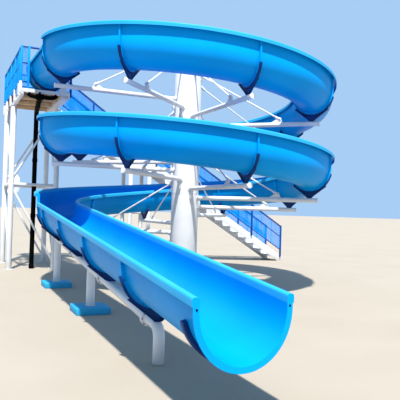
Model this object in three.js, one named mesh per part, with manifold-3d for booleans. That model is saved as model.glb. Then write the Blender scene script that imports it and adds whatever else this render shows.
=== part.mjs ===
// Water slide tower: an open flume that coils twice round a steel column and runs out straight,
// with the start platform and the stair that lead up to it.
// Millimetres, +Z up. The column stands on the origin, and the run-out goes along -Y.
import * as THREE from 'three';
import { mergeVertices } from 'three/addons/utils/BufferGeometryUtils.js';
import Module from 'manifold-3d';

const wasm = await Module();
wasm.setup();

// Driving dimensions of the flume
const TURN_RADIUS = 2633;       // column axis to the middle of the flume
const PITCH = 1507;             // drop of one full turn
const TURNS = 2;
const SECTIONS_PER_TURN = 8;
const START_RIM = 4631;         // height of the inner rim where the coil begins
const OUTER_RISE = 171;         // how much higher the outer wall of the coil stands
const BOWL_RADIUS = 375;        // half the outside width of the rounded flume floor
const BOWL_DEPTH = 427;         // outside depth of that floor
const SIDE_HEIGHT = 106;        // straight side above the floor
const SHELL = 10;               // thickness of the flume wall
const LIP_WIDTH = 49;           // how far the rolled lip stands out
const LIP_DEPTH = 70;
const FLANGE_WIDTH = 40;
const FLANGE_LENGTH = 12;       // length of one flange along the flume
const FLANGE_STEP = 4;
const BOWL_SEGMENTS = 6;
const CURVE_STEPS = 4;
const FIT = 0.3;                // clearance between separate pieces

// Straight pieces, measured along the flume from the ends of the coil
const ENTRY_SLOPE = 0.04;
const RUN_SLOPE = 0.088;
const ENTRY_LENGTH = 1600;
const START_LENGTH = 700;
const RUN_JOINTS = [0, 560, 2150, 3880, 5630, 7440];
const RIB_POSITION = 7190;      // stiffening rib under the last section
const RIB_HEIGHT = 50;
const RIB_LENGTH = 87;

// Column and arms
const COLUMN_RADIUS = 285;
const COLUMN_TOP = 5200;
const COLUMN_SIDES = 24;     // a multiple of the eight directions of the arms
const BASE_RADIUS = 480;
const BASE_THICKNESS = 30;
const ARM_DROP = 920;           // from the outer rim down to the axis of the arm
const ARM_RADIUS = 44.5;
const ARM_REACH = 2800;
const ROD_RADIUS = 15;
const ROD_FOOT = 2000;          // distance of the lower rod lug from the column axis
const ROD_FOOT_RISE = 110;
const ROD_HEAD_RISE = 1080;
const BRACKET_DEPTH = 215;      // upright bracket under each arm, at the column
const BRACKET_REACH = 60;
const BRACKET_WIDTH = 40;
const SADDLE_LENGTH = 50;
const SADDLE_STRAP = 25;
const SADDLE_BELLY = 25;        // how much deeper the saddle is where its straight edges begin
const SADDLE_CORNER = [90, -655];
const SADDLE_FOOT = 40;         // half the width of the foot
const SADDLE_FIT = 0.9;
const SADDLE_SINK = 8;          // how deep a foot goes into what carries it

// Supports of the straight run
const BEAM_DROP = 690;          // from the rim where the run begins down to the axis of the beam
const BEAM_SLOPE = 0.0977;
const BEAM_RADIUS = 60;
const ELBOW_LEG = 160;
const ELBOW_FALL = 24;          // how far the elbow has turned down under the last saddle
const POST_RADIUS = 64;
const POST_POSITIONS = [0, 2750, 5680];
const COUPLINGS = [1514, 3440, 5338];
const COUPLING_RADIUS = 88;
const COUPLING_LENGTH = 60;
const FIRST_POST_TOP = 985;
const FOOTING_WIDTH = 500;
const FOOTING_HEIGHT = 100;

// Tower and platform
const LEG_RADIUS = 65;
const LEFT_LEGS = -3215;
const RIGHT_LEGS = -2170;
const FRONT_LEGS = 3050;
const BACK_LEGS = 4600;
const BRACE_HEIGHT = 2040;
const BRACE_RADIUS = 35;
const DIAGONAL_RADIUS = 20;
const GUSSET_RISE = 240;
const DECK_TOP = 4065;
const DECK_THICKNESS = 30;
const DECK_LEFT = -3220;
const DECK_RIGHT = -2190;
const DECK_FRONT = 1560;
const DECK_BACK = 3620;
const FRONT_BEAM_DEPTH = 75;
const JOIST_DEPTH = 105;
const JOIST_WIDTH = 60;
const RIGHT_BEAM_WIDTH = 180;
const JOISTS = [2135, 2870];
const STEP_RISE = 190;
const LANDING_TOP = DECK_TOP + STEP_RISE;
const LANDING_THICKNESS = 60;
const LANDING_BACK = 5160;
const LANDING_RIGHT = -2050;

// Stair
const RISERS = 24;
const UPPER_RISERS = 8;
const RISE = LANDING_TOP / RISERS;
const GOING = 287;
const STAIR_NEAR = 4290;
const STAIR_FAR = 5130;
const TREAD_THICKNESS = 35;
const STRINGER_THICKNESS = 12;
const STRINGER_DEPTH = 250;
const MID_LENGTH = 941;
const MID_THICKNESS = 120;
const MID_POST_RADIUS = 57;

// Railings
const RAIL_HEIGHT = 950;
const STAIR_RAIL_HEIGHT = 890;
const RAIL_SIZE = 45;
const POST_CAP = 26;            // how far the posts stand above the middle of the top rail
const BAR_SIZE = 14;
const BOTTOM_RAIL = 150;
const MID_RAIL = 560;
const BAY_BARS = 2;
const LEFT_POSTS = [1620, 1900, 2690, 3540, 4380, 5130];
const RIGHT_POSTS = [2420, 3520];
const RETURN_POST = -3085;      // end of the short railing between the front corner and the flume

// Water riser
const RISER_RADIUS = 43;
const RISER_X = -2669;
const RISER_Y = 3200;
const RISER_TOP = 3850;
const RISER_BEND = 180;
const TEE_X = -2850;
const TEE_LEVEL = 3900;
const TEE_FORWARD = 70;         // in front of the platform
const TEE_LEFT = -3100;
const TEE_RIGHT = -2490;
const TEE_TURN = 60;            // length and rise of the upturned ends
const HANGER_WIDTH = 50;

// Colours
const FLUME_BLUE = new THREE.MeshStandardMaterial({ color: 0x0a84d8, roughness: 0.25, metalness: 0 });
const STEEL_WHITE = new THREE.MeshStandardMaterial({ color: 0xe9e9ee, roughness: 0.45, metalness: 0 });
const FOOTING_TEAL = new THREE.MeshStandardMaterial({ color: 0x1c9ac8, roughness: 0.8, metalness: 0 });
const DECK_TAN = new THREE.MeshStandardMaterial({ color: 0xc8a27a, roughness: 0.8, metalness: 0 });
const RAIL_BLUE = new THREE.MeshStandardMaterial({ color: 0x0060c8, roughness: 0.45, metalness: 0 });
const PIPE_BLACK = new THREE.MeshStandardMaterial({ color: 0x15171a, roughness: 0.5, metalness: 0 });

const slide = new THREE.Group();

function addPiece(name, geometry, material) {
  geometry.computeVertexNormals();
  const mesh = new THREE.Mesh(geometry, material.clone());
  mesh.name = name;
  slide.add(mesh);
  return mesh;
}

// Joining and cutting of closed meshes
function toSolid(geometry) {
  const bare = geometry.clone();
  bare.deleteAttribute('normal');
  bare.deleteAttribute('uv');
  const merged = mergeVertices(bare, 0.001);
  return new wasm.Manifold(new wasm.Mesh({
    numProp: 3,
    vertProperties: new Float32Array(merged.attributes.position.array),
    triVerts: new Uint32Array(merged.index.array),
  }));
}

function toGeometry(solid) {
  const mesh = solid.getMesh();
  const geometry = new THREE.BufferGeometry();
  geometry.setAttribute('position', new THREE.BufferAttribute(new Float32Array(mesh.vertProperties), 3));
  geometry.setIndex(new THREE.BufferAttribute(new Uint32Array(mesh.triVerts), 1));
  return geometry;
}

function join(geometries) {
  return geometries.map(toSolid).reduce((whole, piece) => whole.add(piece));
}

// A closed body through a row of closed outlines, each given as points in space
function loft(rings, outline) {
  const count = outline.length;
  const positions = rings.flat().flatMap((point) => point.toArray());
  const index = [];
  for (let ring = 0; ring + 1 < rings.length; ring += 1) {
    for (let i = 0; i < count; i += 1) {
      const a = ring * count + i;
      const b = ring * count + (i + 1) % count;
      index.push(a, b, b + count, a, b + count, a + count);
    }
  }
  const caps = THREE.ShapeUtils.triangulateShape(outline, []);
  const last = (rings.length - 1) * count;
  caps.forEach(([a, b, c]) => index.push(a, c, b, last + a, last + b, last + c));
  const geometry = new THREE.BufferGeometry();
  geometry.setAttribute('position', new THREE.Float32BufferAttribute(positions, 3));
  geometry.setIndex(index);
  return geometry;
}

// Simple bodies
function block(x0, x1, y0, y1, z0, z1) {
  const geometry = new THREE.BoxGeometry(x1 - x0, y1 - y0, z1 - z0);
  return geometry.translate((x0 + x1) / 2, (y0 + y1) / 2, (z0 + z1) / 2);
}

function post(x, y, z0, z1, radius, sides) {
  const geometry = new THREE.CylinderGeometry(radius, radius, z1 - z0, sides);
  return geometry.rotateX(Math.PI / 2).translate(x, y, (z0 + z1) / 2);
}

function pipe(from, to, radius, sides) {
  const axis = new THREE.Vector3().subVectors(to, from);
  const geometry = new THREE.CylinderGeometry(radius, radius, axis.length(), sides);
  const turn = new THREE.Quaternion().setFromUnitVectors(new THREE.Vector3(0, 1, 0), axis.normalize());
  const middle = new THREE.Vector3().addVectors(from, to).multiplyScalar(0.5);
  return geometry.applyQuaternion(turn).translate(middle.x, middle.y, middle.z);
}

// A round tube through points that lie in one plane, whose normal is side
function tube(points, side, radius, sides) {
  const outline = [];
  for (let i = 0; i < sides; i += 1) {
    const angle = 2 * Math.PI * i / sides;
    outline.push(new THREE.Vector2(radius * Math.cos(angle), radius * Math.sin(angle)));
  }
  const rings = points.map((point, i) => {
    const before = points[Math.max(i - 1, 0)];
    const after = points[Math.min(i + 1, points.length - 1)];
    const along = new THREE.Vector3().subVectors(after, before).normalize();
    const up = new THREE.Vector3().crossVectors(side, along);
    return outline.map(({ x, y }) => point.clone().addScaledVector(side, x).addScaledVector(up, y));
  });
  return facingOut(loft(rings, outline));
}

// A flat plate drawn in the X-Z plane, centred on Y
function plateXZ(points, thickness, y) {
  const shape = new THREE.Shape(points.map(([x, z]) => new THREE.Vector2(x, z)));
  const geometry = new THREE.ExtrudeGeometry(shape, { depth: thickness, bevelEnabled: false });
  return geometry.rotateX(Math.PI / 2).translate(0, y + thickness / 2, 0);
}

function vec(x, y, z) {
  return new THREE.Vector3(x, y, z);
}

// A point of the flume floor or round it, at a distance from the axis on the level of the sides
function bowlPoint(radius, angle, scale = 1) {
  const deep = radius + BOWL_DEPTH - BOWL_RADIUS;
  return [scale * radius * Math.cos(angle), scale * deep * Math.sin(angle) - SIDE_HEIGHT];
}

// Flume section: outline across the flume, u outwards from the column, v up from the inner rim
function flumeOutline(outerRise, flange, rib = 0) {
  const points = [];
  const inside = BOWL_RADIUS - SHELL;
  const outside = BOWL_RADIUS + flange;
  const lipEdge = BOWL_RADIUS + LIP_WIDTH;
  const add = (u, v) => points.push(new THREE.Vector2(u, v));
  add(lipEdge, outerRise);
  add(inside, outerRise);
  for (let i = 0; i <= BOWL_SEGMENTS; i += 1) {
    const angle = -Math.PI * i / BOWL_SEGMENTS;
    add(...bowlPoint(inside, angle));
  }
  add(-inside, 0);
  add(-lipEdge, 0);
  add(-lipEdge, -LIP_DEPTH);
  add(-outside, -LIP_DEPTH);
  for (let i = BOWL_SEGMENTS; i >= 0; i -= 1) {
    const angle = -Math.PI * i / BOWL_SEGMENTS;
    const radius = i % BOWL_SEGMENTS === 0 ? outside : outside + rib;
    add(...bowlPoint(radius, angle));
  }
  add(outside, outerRise - LIP_DEPTH);
  add(lipEdge, outerRise - LIP_DEPTH);
  return points;
}

// Three ways of laying the flume: round the column, in before it and out after it
const coilStep = 2 * Math.PI / SECTIONS_PER_TURN;
const coilJoints = TURNS * SECTIONS_PER_TURN;
const sectionDrop = PITCH / SECTIONS_PER_TURN;
const coilSlope = PITCH / (2 * Math.PI * TURN_RADIUS);
const runRim = START_RIM - TURNS * PITCH;

function onCoil(u, v, distance) {
  const turn = distance / TURN_RADIUS;
  const angle = Math.PI + turn;
  const radius = TURN_RADIUS + u;
  return vec(radius * Math.cos(angle), radius * Math.sin(angle), START_RIM + v - coilSlope * distance);
}

function onEntry(u, v, distance) {
  return vec(-TURN_RADIUS - u, distance, START_RIM + v + ENTRY_SLOPE * distance);
}

function onRun(u, v, distance) {
  return vec(-TURN_RADIUS - u, -distance, runRim + v - RUN_SLOPE * distance);
}

function flumeSection(lay, from, to, outerRise, bodySteps, extraRib) {
  const start = from + FIT / 2;
  const end = to - FIT / 2;
  const stations = [[start, FLANGE_WIDTH], [start + FLANGE_LENGTH, FLANGE_WIDTH]];
  const first = start + FLANGE_LENGTH + FLANGE_STEP;
  const last = end - FLANGE_LENGTH - FLANGE_STEP;
  for (let i = 0; i <= bodySteps; i += 1) {
    stations.push([first + (last - first) * i / bodySteps, 0]);
  }
  if (extraRib) {
    stations.splice(3, 0, ...ribStations(extraRib));
  }
  stations.push([end - FLANGE_LENGTH, FLANGE_WIDTH], [end, FLANGE_WIDTH]);
  const rings = stations.map(([distance, flange, rib]) => (
    flumeOutline(outerRise, flange, rib).map((point) => lay(point.x, point.y, distance))
  ));
  const geometry = loft(rings, flumeOutline(outerRise, FLANGE_WIDTH));
  return facingOut(geometry);
}

function ribStations(position) {
  const half = RIB_LENGTH / 2;
  return [
    [position - half - FLANGE_STEP, 0, 0],
    [position - half, 0, RIB_HEIGHT],
    [position + half, 0, RIB_HEIGHT],
    [position + half + FLANGE_STEP, 0, 0],
  ];
}

// Turns the faces over where an outline ran the other way round
function facingOut(geometry) {
  const position = geometry.attributes.position;
  const index = geometry.index;
  let volume = 0;
  for (let i = 0; i < index.count; i += 3) {
    const [a, b, c] = [0, 1, 2].map((corner) => (
      new THREE.Vector3().fromBufferAttribute(position, index.getX(i + corner))
    ));
    volume += a.dot(b.cross(c));
  }
  if (volume < 0) {
    for (let i = 0; i < index.count; i += 3) {
      const held = index.getX(i + 1);
      index.setX(i + 1, index.getX(i + 2));
      index.setX(i + 2, held);
    }
  }
  return geometry;
}

function twoDigits(number) {
  return String(number).padStart(2, '0');
}

function addFlume() {
  const length = TURN_RADIUS * coilStep;
  for (let i = 0; i < coilJoints; i += 1) {
    const geometry = flumeSection(onCoil, i * length, (i + 1) * length, OUTER_RISE, CURVE_STEPS);
    addPiece(`coil_section_${twoDigits(i + 1)}`, geometry, FLUME_BLUE);
  }
  addPiece('entry_section', flumeSection(onEntry, 0, ENTRY_LENGTH, 0, 1), FLUME_BLUE);
  const startEnd = ENTRY_LENGTH + START_LENGTH;
  addPiece('start_section', flumeSection(onEntry, ENTRY_LENGTH, startEnd, 0, 1), FLUME_BLUE);
  for (let i = 0; i + 1 < RUN_JOINTS.length; i += 1) {
    const rib = i + 2 === RUN_JOINTS.length ? RIB_POSITION : 0;
    const geometry = flumeSection(onRun, RUN_JOINTS[i], RUN_JOINTS[i + 1], 0, 1, rib);
    addPiece(`run_section_${i + 1}`, geometry, FLUME_BLUE);
  }
}

// A point under the bowl, counted in segments of it from +X where side is 1 and from -X where it is -1
function underBowl(radius, segments, side) {
  const angle = -Math.PI * segments / BOWL_SEGMENTS;
  const flat = Number.isInteger(segments) ? 1 : Math.cos(Math.PI / BOWL_SEGMENTS / 2);
  const [u, v] = bowlPoint(radius, angle, flat);
  return [side * u, v];
}

// Saddle under a flume joint, drawn across the flume and sheared to its slope: it follows the flange,
// runs together to a foot at footLevel, measured from the inner rim, and goes on up the outer side.
function saddle(slope, footLevel, side) {
  const inner = BOWL_RADIUS + FLANGE_WIDTH + SADDLE_FIT;
  const outer = inner + SADDLE_STRAP;
  const [cornerReach, cornerLevel] = SADDLE_CORNER;
  const geometry = plateXZ([
    ...[0.5, 1, 1.5, 2, 3, 4, 4.5].map((segments) => underBowl(inner, segments, side)),
    underBowl(outer + SADDLE_BELLY, 4.5, side),
    [-side * cornerReach, cornerLevel],
    [-side * SADDLE_FOOT, footLevel],
    [side * SADDLE_FOOT, footLevel],
    [side * cornerReach, cornerLevel],
    underBowl(outer + SADDLE_BELLY, 1.5, side),
    ...[1, 0.5].map((segments) => underBowl(outer, segments, side)),
  ], SADDLE_LENGTH, 0);
  const position = geometry.attributes.position;
  for (let i = 0; i < position.count; i += 1) {
    position.setZ(i, position.getZ(i) + slope * position.getY(i));
  }
  return geometry;
}

// Arm, bracket, saddle, rod and lugs at one joint of the coil, drawn along +X
function coilSupport(slope) {
  const armLevel = OUTER_RISE - ARM_DROP;
  const column = toSolid(post(0, 0, armLevel - 500, armLevel + 1500, COLUMN_RADIUS + FIT, COLUMN_SIDES));
  const arm = pipe(vec(COLUMN_RADIUS - 20, 0, armLevel), vec(ARM_REACH, 0, armLevel), ARM_RADIUS, 6);
  const top = armLevel + ARM_RADIUS - 6;
  const footLug = plateXZ([
    [ROD_FOOT - 190, top],
    [ROD_FOOT + 70, top],
    [ROD_FOOT + 45, armLevel + ROD_FOOT_RISE + 30],
    [ROD_FOOT - 15, armLevel + ROD_FOOT_RISE + 45],
  ], 16, 0);
  const headLevel = armLevel + ROD_HEAD_RISE;
  const headLug = plateXZ([
    [COLUMN_RADIUS - 20, headLevel + 60],
    [COLUMN_RADIUS - 20, headLevel - 110],
    [COLUMN_RADIUS + 60, headLevel - 80],
    [COLUMN_RADIUS + 90, headLevel - 20],
  ], 16, 0);
  const rod = pipe(
    vec(ROD_FOOT, 0, armLevel + ROD_FOOT_RISE), vec(COLUMN_RADIUS + 30, 0, headLevel - 20), ROD_RADIUS, 4,
  );
  const bracket = block(
    COLUMN_RADIUS - 20, COLUMN_RADIUS + BRACKET_REACH, -BRACKET_WIDTH / 2, BRACKET_WIDTH / 2,
    armLevel - BRACKET_DEPTH, armLevel,
  );
  const cradle = saddle(-slope, armLevel + ARM_RADIUS - SADDLE_SINK, 1).translate(TURN_RADIUS, 0, 0);
  return toGeometry(join([arm, bracket, footLug, headLug, rod, cradle]).subtract(column));
}

function addCoilSupports() {
  const first = coilSupport((coilSlope + ENTRY_SLOPE) / 2);
  const other = coilSupport(coilSlope);
  for (let i = 0; i < coilJoints; i += 1) {
    const geometry = i === 0 ? first : other.clone();
    const mesh = addPiece(`support_arm_${twoDigits(i + 1)}`, geometry, STEEL_WHITE);
    mesh.rotation.z = Math.PI + i * coilStep;
    mesh.position.z = START_RIM - i * sectionDrop;
  }
}

function addColumn() {
  const shaft = post(0, 0, 0, COLUMN_TOP, COLUMN_RADIUS, COLUMN_SIDES);
  const cap = post(0, 0, COLUMN_TOP - 20, COLUMN_TOP + 20, COLUMN_RADIUS + 25, COLUMN_SIDES);
  const base = post(0, 0, 0, BASE_THICKNESS, BASE_RADIUS, COLUMN_SIDES);
  const pieces = [shaft, cap, base];
  const gussets = 8;
  for (let i = 0; i < gussets; i += 1) {
    const gusset = plateXZ([
      [COLUMN_RADIUS - 30, BASE_THICKNESS - 10],
      [BASE_RADIUS - 40, BASE_THICKNESS - 10],
      [BASE_RADIUS - 40, BASE_THICKNESS + 40],
      [COLUMN_RADIUS - 30, BASE_THICKNESS + 260],
    ], 16, 0);
    pieces.push(gusset.rotateZ((i + 0.5) * 2 * Math.PI / gussets));
  }
  addPiece('column', toGeometry(join(pieces)), STEEL_WHITE);
}

// Beam, posts and saddles that carry the straight run: the beam turns down to be the last post
function addRunSupport() {
  const rimAt = (distance) => runRim - RUN_SLOPE * distance;
  const beamPoint = (distance) => vec(-TURN_RADIUS, -distance, runRim - BEAM_DROP - BEAM_SLOPE * distance);
  const lastPost = POST_POSITIONS[2];
  const corner = beamPoint(lastPost);
  const elbow = new THREE.QuadraticBezierCurve3(
    beamPoint(lastPost - ELBOW_LEG), corner, corner.clone().setZ(corner.z - ELBOW_LEG),
  );
  const path = [beamPoint(0), ...elbow.getPoints(5), corner.clone().setZ(0)];
  const pieces = [tube(path, vec(1, 0, 0), BEAM_RADIUS, 12)];
  COUPLINGS.forEach((distance) => {
    const half = COUPLING_LENGTH / 2;
    pieces.push(pipe(beamPoint(distance - half), beamPoint(distance + half), COUPLING_RADIUS, 12));
  });
  const tops = [FIRST_POST_TOP, beamPoint(POST_POSITIONS[1]).z];
  tops.forEach((top, i) => {
    pieces.push(post(-TURN_RADIUS, -POST_POSITIONS[i], FOOTING_HEIGHT + FIT, top, POST_RADIUS, 12));
  });
  RUN_JOINTS.slice(0, 5).forEach((distance, i) => {
    const slope = i === 0 ? coilSlope : RUN_SLOPE;
    const fall = distance > lastPost - ELBOW_LEG ? ELBOW_FALL : 0;
    const under = i === 0 ? FIRST_POST_TOP : beamPoint(distance).z + BEAM_RADIUS - fall;
    const plate = saddle(slope, under - SADDLE_SINK - rimAt(distance), -1);
    pieces.push(plate.translate(-TURN_RADIUS, -distance, rimAt(distance)));
  });
  addPiece('run_support_frame', toGeometry(join(pieces)), STEEL_WHITE);
  for (let i = 0; i < 2; i += 1) {
    const y = -POST_POSITIONS[i];
    const half = FOOTING_WIDTH / 2;
    const footing = block(-TURN_RADIUS - half, -TURN_RADIUS + half, y - half, y + half, 0, FOOTING_HEIGHT);
    addPiece(`footing_${i + 1}`, footing, FOOTING_TEAL);
  }
}

// Tower under the platform
function legAt(x, y, top, grow) {
  return post(x, y, 0, top, LEG_RADIUS + grow, 12);
}

const underDeck = DECK_TOP - DECK_THICKNESS - JOIST_DEPTH - FIT;
const underLanding = LANDING_TOP - LANDING_THICKNESS - FIT;

function sideFrame(x) {
  const foot = (y) => block(x - 120, x + 120, y - 120, y + 120, 0, 16);
  return toGeometry(join([
    legAt(x, FRONT_LEGS, underDeck, 0),
    legAt(x, BACK_LEGS, underLanding, 0),
    foot(FRONT_LEGS),
    foot(BACK_LEGS),
    pipe(vec(x, FRONT_LEGS, BRACE_HEIGHT), vec(x, BACK_LEGS, BRACE_HEIGHT), BRACE_RADIUS, 8),
    pipe(vec(x, BACK_LEGS, underDeck - 200), vec(x, FRONT_LEGS, BRACE_HEIGHT + 180), DIAGONAL_RADIUS, 6),
    pipe(vec(x, BACK_LEGS, BRACE_HEIGHT - 180), vec(x, FRONT_LEGS, 200), DIAGONAL_RADIUS, 6),
  ]));
}

function crossBracing(y) {
  const gusset = block(
    LEFT_LEGS, LEFT_LEGS + 190, y - 6, y + 6, BRACE_HEIGHT - GUSSET_RISE, BRACE_HEIGHT + GUSSET_RISE,
  );
  const whole = join([
    gusset,
    pipe(vec(LEFT_LEGS, y, BRACE_HEIGHT), vec(RIGHT_LEGS, y, BRACE_HEIGHT), BRACE_RADIUS, 8),
    pipe(vec(LEFT_LEGS, y, BRACE_HEIGHT + 110), vec(RIGHT_LEGS, y, underDeck - 40), DIAGONAL_RADIUS, 6),
    pipe(vec(LEFT_LEGS, y, BRACE_HEIGHT - 50), vec(RIGHT_LEGS, y, 140), DIAGONAL_RADIUS, 6),
  ]);
  const legs = [LEFT_LEGS, RIGHT_LEGS].map((x) => toSolid(legAt(x, y, LANDING_TOP, FIT)));
  return toGeometry(whole.subtract(legs[0]).subtract(legs[1]));
}

function addTower() {
  addPiece('tower_frame_left', sideFrame(LEFT_LEGS), STEEL_WHITE);
  addPiece('tower_frame_right', sideFrame(RIGHT_LEGS), STEEL_WHITE);
  addPiece('tower_bracing_front', crossBracing(FRONT_LEGS), STEEL_WHITE);
  addPiece('tower_bracing_back', crossBracing(BACK_LEGS), STEEL_WHITE);
}

// The joint of the flume start rests on the front beam, with a stiffener on the side of the column
function startCradle() {
  const rim = START_RIM + ENTRY_SLOPE * ENTRY_LENGTH;
  const foot = DECK_TOP - SADDLE_SINK - rim;
  const inner = BOWL_RADIUS + FLANGE_WIDTH + SADDLE_FIT;
  const stiffener = plateXZ([
    [205, foot], underBowl(inner, 2, 1), underBowl(inner, 1, 1), [383, foot],
  ], JOIST_WIDTH - 20, 0);
  return [saddle(ENTRY_SLOPE, foot, -1), stiffener].map((geometry) => (
    geometry.translate(-TURN_RADIUS, ENTRY_LENGTH, rim)
  ));
}

function addPlatform() {
  const deckBottom = DECK_TOP - DECK_THICKNESS;
  const deckFront = DECK_FRONT + JOIST_WIDTH;
  const frameBottom = deckBottom - JOIST_DEPTH;
  const innerLeft = DECK_LEFT + JOIST_WIDTH;
  const innerRight = DECK_RIGHT - RIGHT_BEAM_WIDTH;
  const outline = new THREE.Shape([
    [DECK_LEFT, deckFront - 5], [innerLeft, deckFront - 5], [innerLeft, JOISTS[0]],
    [innerRight, JOISTS[0]], [innerRight, deckFront - 5], [DECK_RIGHT, deckFront - 5],
    [DECK_RIGHT, DECK_BACK], [DECK_LEFT, DECK_BACK],
  ].map(([x, y]) => new THREE.Vector2(x, y)));
  const joists = [...JOISTS, DECK_BACK - JOIST_WIDTH];
  for (let i = 0; i + 1 < joists.length; i += 1) {
    const [y0, y1] = [joists[i] + JOIST_WIDTH, joists[i + 1]];
    const corners = [[innerLeft, y0], [innerRight, y0], [innerRight, y1], [innerLeft, y1]];
    outline.holes.push(new THREE.Path(corners.map(([x, y]) => new THREE.Vector2(x, y))));
  }
  const floorFrame = new THREE.ExtrudeGeometry(outline, { depth: JOIST_DEPTH - FIT, bevelEnabled: false });
  const frontBeam = block(
    DECK_LEFT, DECK_RIGHT, DECK_FRONT, deckFront - FIT, DECK_TOP - FRONT_BEAM_DEPTH, DECK_TOP,
  );
  const deckRoom = block(
    DECK_LEFT - 1, DECK_RIGHT + 1, deckFront - FIT, DECK_BACK, deckBottom - FIT, DECK_TOP + FIT,
  );
  const whole = join([floorFrame.translate(0, 0, frameBottom), frontBeam, ...startCradle()]);
  const frame = whole.subtract(toSolid(deckRoom));
  addPiece('platform_frame', toGeometry(frame), STEEL_WHITE);
  addPiece('start_deck', block(DECK_LEFT, DECK_RIGHT, deckFront, DECK_BACK, deckBottom, DECK_TOP), DECK_TAN);
  const landing = join([
    block(
      DECK_LEFT, LANDING_RIGHT, DECK_BACK - 60, LANDING_BACK, LANDING_TOP - LANDING_THICKNESS, LANDING_TOP,
    ),
    block(DECK_LEFT, DECK_RIGHT, DECK_BACK - 60, DECK_BACK, DECK_TOP + FIT, LANDING_TOP - 10),
  ]);
  addPiece('upper_landing', toGeometry(landing), DECK_TAN);
}

// Stair: each flight is treads between two plate stringers
const midStart = LANDING_RIGHT + (UPPER_RISERS - 1) * GOING;
const midTop = LANDING_TOP - UPPER_RISERS * RISE;
const lowerStart = midStart + MID_LENGTH;
const stairEnd = lowerStart + (RISERS - UPPER_RISERS - 1) * GOING;
const pitch = RISE / GOING;

function stringer(y, startX, topZ, treads, toGround) {
  const run = treads * GOING;
  const lineZ = (x) => topZ + 40 - pitch * (x - startX + GOING * 0.4);
  const endX = startX + run;
  const upper = [[startX + FIT, lineZ(startX)], [endX - FIT, lineZ(endX)]];
  const lower = toGround
    ? [[endX - FIT, 0], [endX - 150, 0]]
    : [[endX - FIT, lineZ(endX) - STRINGER_DEPTH]];
  const start = [startX + FIT, lineZ(startX) - STRINGER_DEPTH];
  return plateXZ([...upper, ...lower, start], STRINGER_THICKNESS, y);
}

function flight(startX, topZ, treads, toGround) {
  const pieces = [STAIR_NEAR, STAIR_FAR].map((y) => stringer(y, startX, topZ, treads, toGround));
  for (let i = 1; i <= treads; i += 1) {
    const x = startX + (i - 1) * GOING;
    const z = topZ - i * RISE;
    const back = i === 1 ? FIT : -20;
    const front = i === treads ? GOING - FIT : GOING;
    pieces.push(block(x + back, x + front, STAIR_NEAR, STAIR_FAR, z - TREAD_THICKNESS, z));
  }
  return toGeometry(join(pieces));
}

function addStair() {
  addPiece('upper_flight', flight(LANDING_RIGHT, LANDING_TOP, UPPER_RISERS - 1, false), STEEL_WHITE);
  const lowerTreads = RISERS - UPPER_RISERS - 1;
  addPiece('lower_flight', flight(lowerStart, midTop, lowerTreads, true), STEEL_WHITE);
  const pieces = [block(
    midStart, lowerStart, STAIR_NEAR - 6, STAIR_FAR + 6, midTop - MID_THICKNESS, midTop,
  )];
  [midStart + 190, lowerStart - 190].forEach((x) => {
    [STAIR_NEAR + 60, STAIR_FAR - 60].forEach((y) => {
      pieces.push(post(x, y, 0, midTop - 50, MID_POST_RADIUS, 10));
      pieces.push(block(x - 100, x + 100, y - 100, y + 100, 0, 14));
    });
    pieces.push(pipe(
      vec(x, STAIR_NEAR + 60, midTop / 2), vec(x, STAIR_FAR - 60, midTop / 2), BRACE_RADIUS, 8,
    ));
  });
  [STAIR_NEAR + 60, STAIR_FAR - 60].forEach((y) => {
    pieces.push(pipe(
      vec(midStart + 190, y, midTop / 2), vec(lowerStart - 190, y, midTop / 2), BRACE_RADIUS, 8,
    ));
  });
  addPiece('mid_landing', toGeometry(join(pieces)), STEEL_WHITE);
}

// A square bar between two points, with two faces upright
function squareBar(from, to, size) {
  const along = new THREE.Vector3().subVectors(to, from);
  const geometry = new THREE.BoxGeometry(along.length(), size, size);
  const x = along.normalize();
  const y = new THREE.Vector3().crossVectors(vec(0, 0, 1), x).normalize();
  const z = new THREE.Vector3().crossVectors(x, y);
  const middle = new THREE.Vector3().addVectors(from, to).multiplyScalar(0.5);
  return geometry.applyMatrix4(new THREE.Matrix4().makeBasis(x, y, z).setPosition(middle));
}

// Railing along a broken line of floor points, with posts, three rails and upright bars
function railing(line, height, postsDown) {
  const pieces = [];
  const up = (point, rise) => vec(point.x, point.y, point.z + rise);
  const half = RAIL_SIZE / 2;
  line.forEach((point) => {
    pieces.push(block(
      point.x - half, point.x + half, point.y - half, point.y + half, point.z - postsDown,
      point.z + height + POST_CAP,
    ));
  });
  for (let i = 0; i + 1 < line.length; i += 1) {
    const [a, b] = [line[i], line[i + 1]];
    [height, MID_RAIL, BOTTOM_RAIL].forEach((rise, rail) => {
      const size = rail === 0 ? RAIL_SIZE - 3 : RAIL_SIZE * 0.6;
      pieces.push(squareBar(up(a, rise), up(b, rise), size));
    });
    for (let bar = 1; bar <= BAY_BARS; bar += 1) {
      const point = new THREE.Vector3().lerpVectors(a, b, bar / (BAY_BARS + 1));
      const size = BAR_SIZE / 2;
      pieces.push(block(
        point.x - size, point.x + size, point.y - size, point.y + size,
        point.z + BOTTOM_RAIL, point.z + height,
      ));
    }
  }
  return join(pieces);
}

function bays(from, to, count) {
  const points = [];
  for (let i = 0; i <= count; i += 1) {
    points.push(new THREE.Vector3().lerpVectors(from, to, i / count));
  }
  return points;
}

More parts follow.
